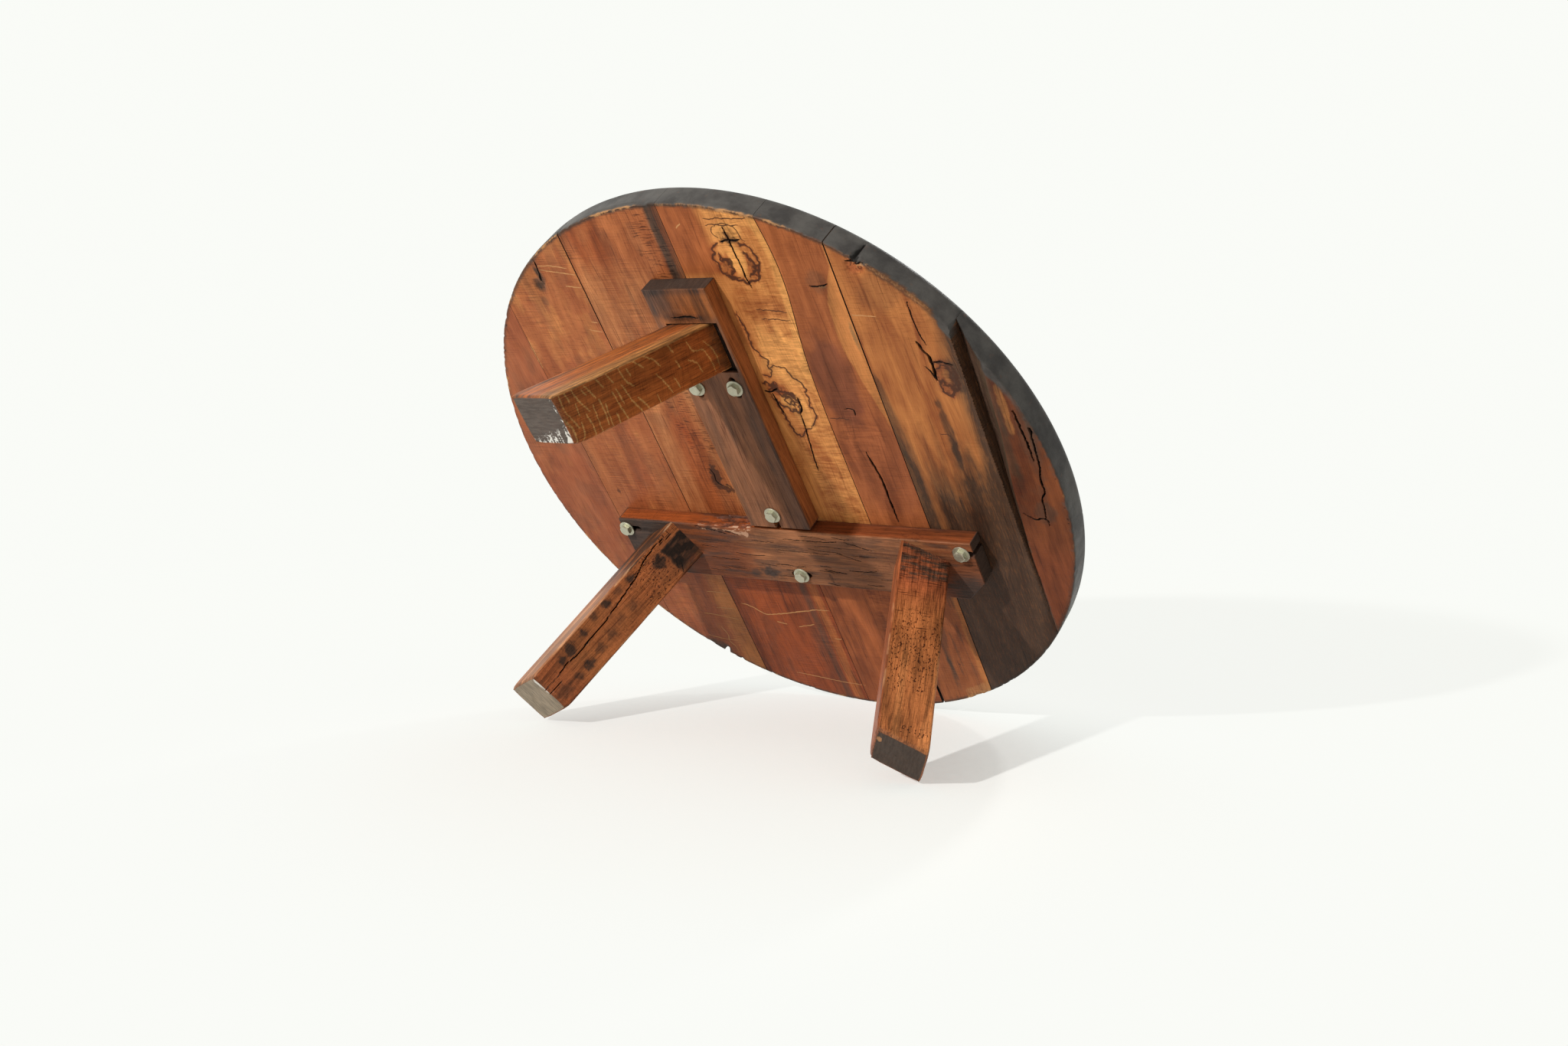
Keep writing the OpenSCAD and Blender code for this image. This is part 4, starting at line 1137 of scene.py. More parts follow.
def beam_piece(name, node, outline, edge_r, slots, pockets, material):
    """A beam as one closed shell: outline counter-clockwise with the rounding of each edge, through slots, and pockets
    (outline, floor height, inner pockets)."""
    quick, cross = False, node == "cross_beam"
    step = 4.0 if quick else 2.2
    shell = Shell()
    # rings up the side: share of the rounding, height in the rounding, or share of the height above it
    rounds = np.linspace(0, math.pi / 2, 9 if cross and not quick else 4)
    levels = [(1 - math.sin(t), 1 - math.cos(t), None) for t in rounds]
    levels += [(0, None, z) for z in np.linspace(0.12, 0.9, 3 if quick else 9)] + [(0.5, None, 0.985), (1.0, None, 1.0)]
    rings = []
    for share, up, z in levels:
        rounding = z is None
        xy = offset(outline, edge_r * share if rounding or z < 0.9 else share + 0 * edge_r)
        zz = Z_FACE + edge_r * up if rounding else Z_FACE + edge_r + (Z_UNDER - Z_FACE - edge_r) * z
        xy = side_wear(cross, xy, zz, edge_r, share if rounding else 0)
        rings.append((xy, shell.points(np.column_stack([xy, zz]), side=1.0)))
    shell.bands([idx for _, idx in rings])
    holes_low, holes_high = [], []
    for path in slots:
        p = along(path, step)
        wall = shell.well(p, [(e, Z_FACE + h) for e, h in SLOT_RINGS] + [(-0.4, Z_UNDER)], hole=1.0)
        holes_low.append((offset(p, -0.7), wall[0]))
        holes_high.append((offset(p, -0.4), wall[-1]))

    def pocket(path, z0, z1, inner):
        p = along(path, step)
        wall = shell.well(p, ((-0.5, z0), (0.0, z0 + 0.6), (0.0, (z0 + z1) / 2), (0.0, z1)), hole=1.0)
        sub = [pocket(q, z1, z2, more) for q, z2, more in inner]
        grid = scatter(p.min(0), p.max(0), step * 2, 5)
        grid = grid[inside(grid, offset(p, step * 0.8))]
        for h, _ in sub:
            grid = grid[~inside(grid, offset(h, -step * 0.8))]
        shell.fill(p, wall[-1], grid, z1, True, sub, hole=1.0)
        return offset(p, -0.5), wall[0]

    holes_low += [pocket(p, Z_FACE, z1, more) for p, z1, more in pockets]
    for (xy, idx), holes, low in ((rings[0], holes_low, True), (rings[-1], holes_high, False)):
        free = offset(xy, 1.3)
        grid = scatter(xy.min(0), xy.max(0), step if low else step * 3, 6)
        grid = grid[inside(grid, free)]
        if low:
            rows = mark_rows(BEAM_CRACKS, lambda q: inside(q, free))
            grid = np.vstack([clear_of(grid, rows, step * 0.5), rows])
        for h, _ in holes:
            grid = grid[~inside(grid, offset(h, -1.2))]
        z = Z_FACE + beam_marks(node, *grid.T)["h"] if low else Z_UNDER
        shell.fill(xy, idx, grid, z, low, holes)
    v, extra = shell.data()
    side, hole = extra["side"], extra["hole"]
    x, y, h = v[:, 0], v[:, 1], v[:, 2] - Z_FACE
    m = beam_marks(node, x, y)
    m["end"] = sawn_end(cross, x, y) * side * smooth(0.3, 1.5, h)
    # the face's dark marks stop up the sides; the walls and floors of the slots and pockets get painted shade from 3 mm
    # in
    m["dark"] = np.maximum(m["dark"] * smooth(9, 1, h), 0.8 * hole * smooth(0.2, 3, h))
    pale, hollow = torn_masks(x, y, h) if cross else (0 * x, 0 * x)
    m["pale"] = np.maximum(m["pale"] * smooth(6, 1, h), pale)
    m["dark"] = np.maximum(m["dark"], hollow * 0.5)
    flank = side * (1 - hole) * (1 - np.clip(m["end"], 0, 1)) * smooth(1.0, 3.5, h)
    for key in ("stain", "olive", "sap"):
        m[key] = m[key] * (1 - flank)
    if cross:
        upper = y > CROSS[1] - 6
        m["red"] = np.maximum(m["red"], 0.95 * flank * upper + 0.5 * flank)
        # painted shade on the cross beam's flank along its top, where it meets the boards, written into the stain mask
        foot = smooth(20, 29, h) * upper * noise(x / 40, y * 0, 106, 2)  # dark where it meets the boards
        m["stain"] += flank * (0.55 * foot + 0.8 * (x < -300) * (y < -100) + 0.2 * smooth(20, -60, x)) + 0.45 * hollow
    else:
        m["red"] = np.maximum(m["red"], 0.95 * flank)
    a, b = (y, x) if cross else (x, y)
    layers = mask_layers(m, np.column_stack([a + 5 * (noise(a / 60, b / 200, 90, 2) - 0.5), b, h]) * MM)
    return make_piece(name, node, shell, layers, material)


BEAM_CRACKS = [Mark("crack", w * 0.7, d, p, ragged=0.6) for w, d, p in (
    (1.6, 3, [(-52, -160), (-62, -162), (-75, -164), (-90, -166)]),
    (1.4, 2.5, [(-88, -122), (-110, -130), (-128, -136)]),
    (1.3, 2, [(-100, -158), (-125, -158), (-150, -155)]),
    (1.4, 2.5, [(40, -158), (22, -157), (2, -160), (-14, -158)]),
    (1.2, 2, [(-20, -100), (-60, -101), (-95, -99)]),
    (1.2, 2, [(-112, -98), (-138, -106), (-160, -112)]),
    (2.6, 4, [(22, 326), (8, 327), (-8, 328), (-22, 325)]),
    (2.2, 3, [(176, -86), (160, -89), (144, -92), (128, -95), (118, -98)]),
    (3.0, 5, [(116, -92), (106, -94), (96, -98)]),
)]
rng = np.random.default_rng(8)
for _ in range(26):  # fine checks along the cross beam
    x, y, run = rng.uniform(-230, 190), rng.uniform(-192, -88), rng.uniform(14, 60)
    width = rng.uniform(0.3, 0.7)
    path = [(x, y), (x - run * 0.5, y - rng.uniform(-1, 3)), (x - run, y - rng.uniform(0, 5))]
    BEAM_CRACKS.append(Mark("crack", width, 1.0, path, ragged=0.8))


def sawn_end(cross, x, y):
    """Whether a point lies on a sawn end of a beam."""
    if not cross:
        return ((y < STEM[0] + 0.9) | (y > STEM[1] - 0.9)) * 1.0
    corner = x + y < -CROSS[2] + CROSS[0] + CROSS_CUT + 1.3
    return ((np.abs(x) > CROSS[2] - 0.9) | corner) * 1.0


def side_wear(cross, xy, z, r, share):
    """Shakes a ring of a beam's side a little: saw waves, dents and, on the cross beam, the torn edge."""
    x, y = xy.T
    wave = 0.25 * (noise(x / 9, y / 9 + z / 7, 91, 2) - 0.5) + 0.2 * share * (noise(x / 4, y / 4, 92, 2) - 0.5)
    inwards = np.sign(xy.mean(0) - xy)
    out = xy.copy()
    if cross:
        fray = smooth(3, 6, r) * (2.4 * (noise(x / 14, z / 1.6, 93, 2) - 0.3) + 4.0 * torn_hollow(x, z))
        out[:, 1] -= np.where(y > -100, np.maximum(fray, -1.0), 0)
    return out + inwards * wave[:, None] * 0.5


def torn_hollow(x, z):
    """Long hollows between the splinters of the torn edge."""
    return smooth(0.48, 0.66, noise(x / 24 + z / 12, z / 4.5, 156, 2))


def torn_masks(x, y, h):
    """Pale torn fibre and the dark hollow behind it on the cross beam."""
    reach = smooth(0.8, 2.0, tear_depth(x)) * smooth(CROSS[1] - 12, CROSS[1] - 9, y)
    ragged = noise(x / 16, h / 1.8 + y / 3, 94, 3)
    hollow = torn_hollow(x, h + Z_FACE)
    strength = (0.65 + 0.35 * smooth(112, 96, x) * smooth(62, 70, x)) * (1 - 0.8 * hollow)
    pale = reach * smooth(0.46, 0.58, ragged) * smooth(13, 7, h) * strength
    dark = reach * np.maximum(smooth(0.5, 0.38, ragged) * smooth(1, 4, h) * 0.9, hollow)
    return pale, dark


def tear_depth(x):
    """Size of the torn edge along the cross beam."""
    depth = 10.5 * smooth(190, 84, x) ** 0.8 * smooth(60, 66, x) * (0.75 + 0.4 * noise(x / 9, x * 0, 95, 2))
    return np.where((x > 60) & (x < 190), depth, 0)


# ---- rows for paint(): the beams ----
BEAM_KNOT, SMALL_KNOT = (60, -176, 17, 11, 61, 0.6, 6, 0, 0.5), (92, -180, 10, 8, 62, 0.5, 8, 0, 0.5)
KNOT_SPECKS = ("mottle", 0.4, 0.55, 3, 3, 115)
STEM_HEAD = ("y", 318, 334, 6, 8, 8, 108)
BEAM_ROWS = {
    "cross_beam": (
        ("stain", 1.0, BEAM_KNOT), ("dark", 0.45, BEAM_KNOT, KNOT_SPECKS),
        ("stain", 0.6, SMALL_KNOT), ("dark", 0.27, SMALL_KNOT, KNOT_SPECKS),
        ("line", 0.6, (-57, -180, 4, 12, 63, 0.5)), ("dark", 0.5, (290, -103, 24, 5, 64, 0.5, 8)),
        ("pale", 0.8, (96, -94, 16, 3.5, 164, 0.7, 3, 6)), ("pale", 0.9, (76, -95, 6, 7, 165, 0.8, 3, 30)),
        ("pale", 0.5, (146, -90, 22, 1.6, 166, 0.6, 4, 8)),
        ("stain", 0.95, ("x", 215, 262)), ("stain", 0.45, ("mottle", 0.52, 0.66, 70, 9, 66, 3)),
        ("stain", 0.3, ("x", -240, -275)), ("stain", 0.3, ("x", 60, 130)),
        ("stain", 0.7, ("x", -262, -300), ("y", -130, -165), ("x", -358, -320)),
        ("sap", 0.4, ("mottle", 0.5, 0.6, 60, 2.2, 119, 3), ("x", 40, -20), ("y", -150, -110)),
        ("sap", 0.45, ("mottle", 0.5, 0.66, 55, 14, 67, 3), ("x", -220, -110), ("x", 180, 70), ("y", -175, -140)),
        ("red", 0.6, ("x", -240, -275)), ("red", 0.75, ("x", 50, 120, 20, 30, 10, 117), ("x", 245, 215)),
        ("speck", 0.35, ("mottle", 0.55, 0.7, 60, 20, 107)),
    ),
    "stem_beam": (
        ("red", 0.95, STEM_HEAD, ("x", 26, 6, 8, 9, 9, 109)), ("stain", 0.4, STEM_HEAD, ("x", 8, 30)),
        ("stain", 0.2, STEM_HEAD), ("stain", 0.5, ("x", -20, -50), ("y", 285, 240)), ("stain", 0.45, ("y", 360, 372)),
        ("dark", 0.5, (-2, 325, 24, 6, 68, 0.5, 7, 0, 0.5)), ("red", 0.9, (0, 328, 46, 15, 152, 0.4, 12, 0, 0.5)),
        ("stain", 0.5, (-4, 324, 34, 8, 153, 0.5, 12, 0, 0.6)), ("sap", 0.6, (8, 338, 8, 5, 69, 0.4)),
        ("stain", 0.35, ("mottle", 0.5, 0.7, 10, 110, 99, 3)),
        ("sap", 0.3, ("mottle", 0.52, 0.68, 7, 90, 110, 3), ("y", 200, 60)),
    ),
}


def beam_marks(node, x, y):
    """Relief and colour masks of a beam's face."""
    m = blank(len(x))
    a, b = (y, x) if node == "cross_beam" else (x, y)
    m["h"] += 0.5 * noise(a / 22, b / 140, 96, 2) + 0.25 * noise(a / 4, b / 30, 97, 2)
    draw(m, BEAM_CRACKS, x, y)
    paint({"x": x, "y": y, "masks": m}, BEAM_ROWS[node])
    return m


def stem_outline(step):
    """The stem beam with its open slot: along the inner end from -x, round the slot, and on to +x."""
    y0, y1, w = STEM
    mouth = densify(slot_path(SCREWS[2], mouth=y0), step)
    if mouth[0][0] > mouth[-1][0]:
        mouth = mouth[::-1]
    body = densify(np.array([(w, y0), (w, y1), (-w, y1), (-w, y0)]), step)
    left = densify(np.array([(-w, y0), mouth[0]]), step)[1:-1]
    right = densify(np.array([mouth[-1], (w, y0)]), step)[1:-1]
    return np.vstack([body, left, mouth, right])


def cross_outline(step):
    """The cross beam with its open slot and its sawn-off corner."""
    lo, hi, half = CROSS
    mouth = densify(slot_path(SCREWS[5], mouth=-half), step)
    if mouth[0][1] < mouth[-1][1]:
        mouth = mouth[::-1]
    cut = (-half + CROSS_CUT, lo)
    body = densify(np.array([cut, (half, lo), (half, hi), (-half, hi)]), step)
    up = densify(np.array([(-half, hi), mouth[0]]), step)[1:-1]
    down = densify(np.array([mouth[-1], (-half, lo + CROSS_CUT), cut]), step)[1:-1]
    return np.vstack([body, up, mouth, down])


# ---- legs ----
def leg_piece(name, node, shoulder, material):
    """A square leg: its long faces, foot and shoulder with the stub tenon, as one closed shell.
    Its faces count 0 outer, 1 and 3 the sides, 2 inner."""
    step = 1.6
    out, side = lean(LEG_AZ[node])
    axis = out * math.sin(SPLAY) - np.array([0, 0, math.cos(SPLAY)])
    across = out * math.cos(SPLAY) + np.array([0, 0, math.sin(SPLAY)])
    root = out * ROOT_R + np.array([0, 0, Z_FACE])
    half, r = LEG_W / 2, LEG_EDGE
    flat = np.arange(-half + r, half - r + 0.01, (LEG_W - 2 * r) / round((LEG_W - 2 * r) / step))
    bend = np.linspace(0, math.pi / 2, 6)[1:-1]
    quarter = [(half, t) for t in flat] + [(half - r + r * math.cos(t), half - r + r * math.sin(t)) for t in bend]
    ring, face, arris = [], [], []
    for k in range(4):
        c, s = math.cos(k * math.pi / 2), math.sin(k * math.pi / 2)
        ring += [(c * u - s * v, s * u + c * v) for u, v in quarter]
        face += [k] * len(quarter)
        arris += [False] * len(flat) + [True] * len(bend)
    ring, face, arris = np.array(ring), np.array(face), np.array(arris)
    shell = Shell()
    base = root + ring[:, :1] * across + ring[:, 1:] * side
    t0, t1 = (shoulder - base[:, 2]) / axis[2], (0 - base[:, 2]) / axis[2]
    n = np.where(np.abs(ring) >= half - r + 1e-6, np.sign(ring) * np.maximum(np.abs(ring) - (half - r), 0), 0)
    n /= np.maximum(np.hypot(*n.T), 1e-9)[:, None]
    # place across each face, from its middle
    local = np.where(face % 2 == 0, ring[:, 1] * np.where(face == 0, 1, -1), -ring[:, 0] * np.where(face == 1, 1, -1))
    rings, rows = [], int(330 / step)
    for k in range(rows + 1):
        f = k / rows
        t = t0 + (t1 - t0) * f
        m = leg_marks(node, face, local, t, arris)
        p = base + axis * t[:, None]
        # the foot is worn round, most of all towards its corners
        sink = m["h"] + 2.4 * max(0.0, (f - 0.98) / 0.02) ** 2
        sink += 1.7 * np.where(arris, 1.0, smooth(20, 38, np.abs(local))) * max(0.0, (f - 0.94) / 0.06) ** 2
        sink = np.where(arris, np.minimum(sink, 3.3), sink)
        p -= (n[:, :1] * across + n[:, 1:] * side) * sink[:, None]
        p[:, 2] = np.clip(p[:, 2], 0.02, shoulder) if k < rows else 0.0
        rings.append(shell.points(p, **{key: m[key] for key in MASKS}))
    shell.bands(rings, flip=True)
    v, _ = shell.data()
    foot_xy, top_xy = v[rings[-1], :2], v[rings[0], :2]
    middle = foot_xy.mean(0)
    inset = middle + (foot_xy - middle) * 0.955
    foot = shell.points(np.column_stack([inset, np.zeros(len(inset))]), end=1.0)
    shell.bands([rings[-1], foot], flip=True)
    grid = scatter(inset.min(0), inset.max(0), step * 1.4, 7)
    grid = grid[inside(grid, middle + (inset - middle) * (1 - step / 38))]
    shell.fill(inset, foot, grid, 0.0, True, end=1.0)
    # shoulder and stub tenon
    sq = along(root_square(LEG_AZ[node], TENON_W / 2, TENON_W / 2), step * 2)
    steps = ((0, shoulder), (0, (shoulder + TENON_TOP) / 2), (0, TENON_TOP - 1.5), (1.5, TENON_TOP))
    tenon = shell.well(sq, steps, False, end=0.5)
    cap = scatter(sq.min(0), sq.max(0), step * 2, 8)
    cap = cap[inside(cap, offset(sq, 1.5 + step * 1.5))]
    shell.fill(offset(sq, 1.5), tenon[-1], cap, TENON_TOP, False, end=0.5)
    shell.fill(top_xy, rings[0], np.zeros((0, 2)), shoulder, False, [(sq, tenon[0])])
    v, extra = shell.data()
    d = v - root
    under = extra["end"] > 0.9
    sole = foot_marks(node, d @ out - Z_FACE * math.tan(SPLAY), d @ side)
    m = {key: np.where(under, sole[key], extra[key]) for key in MASKS}
    m["end"] = np.maximum(m["end"], under)
    m["stain"] = m["stain"] + 0.35 * smooth(7, 1.5, v[:, 2]) * ~under
    u, t = d @ across, d @ axis
    place = np.column_stack([u + 3 * (noise(u / 40, t / 160, 98, 2) - 0.5), t, d @ side + 60]) * MM
    return make_piece(name, node, shell, mask_layers(m, place), material, crease=50.0)


# the face that carries a leg's lines, and the lines: across the face and along the leg from its root
LEG_MARKS = {
    "leg_left": (2, [Mark("crack", w, d, p, ragged=0.25) for w, d, p in (
        (1.7, 8, [(-29, -8), (-29, 12), (-31, 33), (-30, 49), (-27, 71), (-20, 94), (-17, 117), (-13, 147), (-11, 171),
                  (-9, 180), (-9, 202), (-8, 230), (-7, 251), (-10, 275), (-8, 298), (-8, 319), (-7, 345)]),
        (1.3, 5, [(2, 300), (2, 317), (2, 345)]), (1.0, 3, [(-24, -8), (-25, 12), (-27, 30), (-27, 44)]),
        (0.9, 2, [(16, 20), (27, 28), (34, 33)]), (0.9, 2, [(10, 26), (22, 34), (30, 40)]),
    )]),
    "leg_right": (0, []),
    "leg_stem": (1, [Mark("ray", 2.0, 0.15, p, ragged=0.5) for p in (
        [(-38, 345), (-25, 341), (-14, 339)], [(-38, 321), (-17, 308), (3, 291)], [(-16, 315), (2, 312)],
        [(-33, 293), (-11, 275)], [(-38, 271), (-20, 257)], [(-36, 247), (-19, 235)],
        [(-35, 221), (-16, 211), (-2, 196)], [(-37, 192), (-21, 169)],
        [(-37, 169), (-29, 153), (-27, 148), (-12, 134)], [(-13, 221), (16, 204), (38, 186)],
        [(-11, 242), (14, 231), (38, 218)], [(-11, 233), (14, 222)], [(2, 259), (27, 254), (38, 250)],
        [(-8, 270), (12, 263), (31, 260)], [(11, 311), (27, 309), (37, 315)],
        [(-11, 351), (2, 338), (21, 327), (36, 325)], [(-12, 338), (4, 326), (18, 317)],
        [(14, 192), (27, 180), (38, 173)], [(-5, 146), (12, 131), (31, 118)],
        [(12, 110), (29, 100)], [(-29, 70), (-13, 59), (-6, 36), (14, 21), (31, 16)], [(-18, 32), (1, 12), (26, 4)],
        [(-2, 73), (7, 55), (24, 45)], [(-38, 334), (-20, 326)], [(4, 300), (22, 291), (38, 288)],
        [(-4, 283), (14, 279), (38, 274)], [(18, 344), (38, 341)], [(-30, 205), (-18, 198)], [(22, 240), (38, 236)],
        [(-36, 112), (-22, 101)], [(-30, 300), (-20, 292)], [(24, 152), (38, 146)], [(-10, 100), (4, 92)],
    )]),
}
BURNS = (  # round burns down the left leg: across, along, radius, strength
    (-26, 103, 7, 0.8), (-27, 132, 7, 0.5), (-30, 161, 8, 0.95), (-30, 190, 7, 0.65), (-24, 221, 7, 0.8),
    (-23, 255, 10, 1.0), (-20, 277, 7, 0.8), (7, 132, 9, 0.5), (7, 162, 8, 0.4), (12, 190, 9, 0.55), (14, 219, 9, 0.55),
    (18, 250, 8, 0.95), (17, 277, 8, 0.6), (16, 308, 14, 0.5),
)
# the scorched head of the left leg: strength and factors of each part
SCORCH = (("scorch", -21, -17), ("y", 37, 30, 9, 4, 6, 159))
SCORCH_PARTS = ((1.0, SCORCH), (-0.72, SCORCH + (("x", 18, 30, 12, 4, 12, 160),)),
                (0.85, ((-8, 49, 11, 11, 121, 0.5, 6, 0, 0.4),)))

# ---- rows for paint(): the legs, with x across the face and y along the leg ----
LEG_ROWS = {
    "leg_left": [row for u, t, r, k in BURNS for row in (
        ("dark", 0.42 * k, 2, (u, t, r * 0.6, r * 0.8, t, 0.6, 5, 0, 0.7)),
        ("stain", k, 2, (u, t, r * 0.85, r, t + 1, 0.8, 5, 0, 0.6)),
        ("stain", 0.3 * k, 2, (u, t, r * 2.2, r * 1.8, t + 2, 0.6, 6, 0, 0.7)))] + [
        row for k, factors in SCORCH_PARTS for row in (
            ("stain", k, 2, *factors), ("dark", 0.72 * k, 2, *factors, ("mottle", 0.15, 0.5, 5, 12, 138)))] + [
        ("stain", 0.4, 2, ("y", 46, 22), ("x", 8, 30)), ("stain", 0.35, 2, (0, 30, 34, 40, 137, 0.5, 9, 0, 0.5)),
        ("h", 1.6, 2, (-2, 76, 20, 26, 161, 0.5, 8, 0, 0.5), ("noise", 2.4, 4, 162)),
        ("red", 0.9, 2, (26, 6, 7, 10, 122)), ("red", 0.5, 2, ("y", 300, 40), ("noise", 9, 40, 123)),
        ("red", 0.6, 2, ("y", 250, 300)), ("speck", 1.2, 2, (2, 74, 34, 38, 124, 0.3, 12, 0, 0.5)),
        ("speck", 0.7, 2, (-4, 78, 18, 24, 163)), ("speck", 0.35, 2),
        ("saw", 0.9, 2, ("x", -24, -32), ("y", 90, 50)), ("saw", 0.25, 2),
        ("sap", 0.45, 1, ("y", 60, 200)), ("sap", 0.55, 1, ("mottle", 0.4, 0.6, 12, 60, 125), ("y", 60, 200)),
        ("stain", 0.6, 1, ("mottle", 0.4, 0.6, 8, 40, 127, 3), ("y", 230, 60)),
        ("stain", 0.8, 1, ("mottle", 0.38, 0.52, 6, 70, 167), ("y", 150, 60))],
    "leg_right": [  # saw bands, then the rest
        ("saw", 1.0, 3, ("y", t - w, t - w / 2), ("y", t + w, t + w / 2), ("x", lo - 4, lo), ("x", hi + 4, hi))
        for t, w, lo, hi in ((84, 7, -38, 10), (117, 5, -32, 20), (147, 5, -24, 34))] + [
        ("saw", 1.5, 3, ("y", 72, 60), ("y", -11, 3, 6, 10, EVEN, 128, 1), ("mottle", 0.25, 0.5, 16, 12, 139)),
        ("saw", 0.2, 3), ("stain", 0.9, 3, ("y", 66, 44), ("mottle", 0.45, 0.6, 15, 3, 147, 3)),
        ("speck", 1.5, 3, (0, 186, 38, 62, 129, 0.4, 12, 0, 0.4)), ("speck", 0.3, 3),
        ("speck", 0.9, 3, (10, 323, 28, 9, 130, 0.5)), ("red", 0.95, 3, ("y", 130, 50)), ("red", 0.7, 2),
        ("stain", 0.75, 3, ("y", 70, 15), ("noise", 12, 12, 131)),
        ("sap", 0.45, 3, ("mottle", 0.4, 0.62, 12, 120, 132), ("y", 120, 220))],
    "leg_stem": [
        ("sap", 0.55, 0, ("x", -14, 34, 12, 9, 80, 133)), ("red", 0.5, 0, ("y", 90, 20)),
        ("stain", 0.25, 0, ("mottle", 0.5, 0.64, 5, 90, 134, 3), ("x", 20, -20)),
        ("stain", 0.5, 0, ("mottle", 0.5, 0.58, 1.6, 70, 148, 3)), ("red", 0.4, 0, ("mottle", 0.45, 0.6, 10, 60, 154)),
        ("saw", 0.35, 1), ("red", 0.45, 1, ("mottle", 0.4, 0.7, 30, 60, 135)),
        ("stain", 0.5, ("y", 30, 5), ("mottle", 0.35, 0.6, 9, 12, 136))],
}


def leg_marks(node, face, u, t, arris):
    """Relief and masks of a leg, at places u across a face and t along the leg; arris says which lie on an edge."""
    m = blank(len(u))
    around = face * 90.0 + u
    m["h"] += 0.4 * noise(around / 20, t / 90, 100, 2) + 0.15 * noise(around / 4, t / 25, 101, 2)
    m["h"] += arris * 0.8 * smooth(0.5, 0.8, noise(around / 10, t / 14, 103, 2))
    m["pale"] += arris * 0.55 * smooth(0.45, 0.7, noise(around / 8, t / 30, 102, 2))
    marked, marks = LEG_MARKS[node]
    draw(m, marks, np.where(face == marked, u, 1e6), t)
    scorch = u + 3 * (noise(t / 7, u * 0, 120) - 0.5)
    paint({"x": u, "y": t, "scorch": scorch, "part": face, "masks": m}, LEG_ROWS[node])
    return m


def foot_marks(node, o, w):
    """Masks on a foot's sole; o runs outwards from its middle and w across."""
    m = blank(len(o))
    if node == "leg_stem":
        strokes = noise(w / 2.4, o / 16, 140, 2)
        m["pale"] += smooth(-4, -26, o + 40 * (strokes - 0.45) - 0.35 * w) * smooth(0.44, 0.56, strokes)
        m["pale"] += 0.9 * smooth(26, 34, w) * smooth(0.55, 0.65, noise(w / 3, o / 5, 141, 2))
    elif node == "leg_left":
        # white-painted inner edge of the sole; the further share on the half where w is above 0 is a painted glint
        edge = smooth(-27, -36, o + 5 * (noise(w / 9, o * 0, 142) - 0.5))
        m["pale"] += 0.9 * edge * (0.3 + 0.7 * smooth(-8, 8, w))
        for x, y in ((15, 5), (15, -5), (18, 1), (11, 2)):
            m["dark"] += 0.9 * patch(o, w, x, y, 2.2, 1.8, 143)
        m["stain"] += 0.35 * smooth(0.45, 0.65, noise(w / 20, o / 9, 144, 3))
    else:
        m["pale"] += 0.8 * patch(o, w, -33, -17, 4, 7, 145, 0.6, 4)
        m["dark"] += 0.9 * patch(o, w, -4, 2, 1.6, 1.6, 146)
    return m


# ---- screws and washers ----
HEAD_H, HEAD_CROWN = 6.9, 6.55  # height of a head at its rim and in its dished middle
NECK, THREAD_LOW, THREAD_DEEP, PITCH = 4.95, 3.7, 1.25, 4.5
# section of a washer: radius and how far below the face of the beams, with its pressed, rounded edges
WASHER = ((5.5, 2.2), (5.5, 0.3), (5.8, 0.0), (9.0, 0.0), (13.2, 0.02), (13.8, 0.3), (14.0, 0.8), (14.0, 1.9),
          (13.7, 2.4), (13.2, 2.5), (9.0, 2.5), (5.8, 2.5))


def hardware(head_finish, washer_finish):
    """The six coach screws as one piece, and their washers as another."""
    heads, washers = Shell(), Shell()
    th = np.linspace(0, 2 * math.pi, 96, endpoint=False)
    for x, y, _axis, _shift, turn in SCREWS:
        def ring(shell, r, z):
            """Points round the screw's axis, at a radius and a height."""
            return shell.points(np.column_stack([x + r * np.cos(th), y + r * np.sin(th), z + 0 * th]))

        hexagon = HEAD_FLATS / 2 / np.cos((th - math.radians(turn)) % (math.pi / 3) - math.pi / 6)
        rings = []
        for k in (0.05, 0.2, 0.36, 0.5, 0.62, 0.78, 0.9, 1.0):
            r = np.minimum(hexagon, k * 9.9) if k < 1 else hexagon
            crown = HEAD_H - np.maximum(0, (r - 7.9) * 0.55) - 0.35 * smooth(6.0, 4.2, r)
            rings.append(ring(heads, r, HEAD_BASE - crown))
        rings += [ring(heads, hexagon - 0.35 * (z == 0), HEAD_BASE - z) for z in (4.0, 2.2, 0.7, 0.25, 0.0)]
        heads.bands(rings)
        heads.cap((x, y, HEAD_BASE - HEAD_CROWN), rings[0])
        # threaded shank: a smooth neck, then a coarse wood thread that tapers to a point
        rings = rings[-1:]
        for z in np.concatenate([[0.0], np.arange(1.0, 24.0, 3.0), np.arange(24.0, SHANK, 0.75)]):
            taper = 1 - 0.8 * smooth(SHANK - 9, SHANK, z)
            thread = np.abs(((z / PITCH - th / (2 * math.pi)) % 1) * 2 - 1)
            r = np.where(z < 22, NECK, THREAD_LOW + THREAD_DEEP * smooth(0.45, 0.95, thread)) * taper
            rings.append(ring(heads, r, HEAD_BASE + z))
        heads.bands(rings)
        heads.cap((x, y, HEAD_BASE + SHANK), rings[-1], flip=True)
        rings = [ring(washers, r, Z_FACE - z) for r, z in WASHER]
        washers.bands(rings + rings[:1], flip=True)
    make_piece("coach_screws_plated", "coach_screws", heads, {}, head_finish, crease=32.0)
    make_piece("washers_plated", "washers", washers, {}, washer_finish, crease=32.0)


# ---- settings ----
def colour_prop(name, text, value):
    return bpy.props.FloatVectorProperty(
        name=name, description=text, default=value, size=3, min=0, max=1, subtype="COLOR")


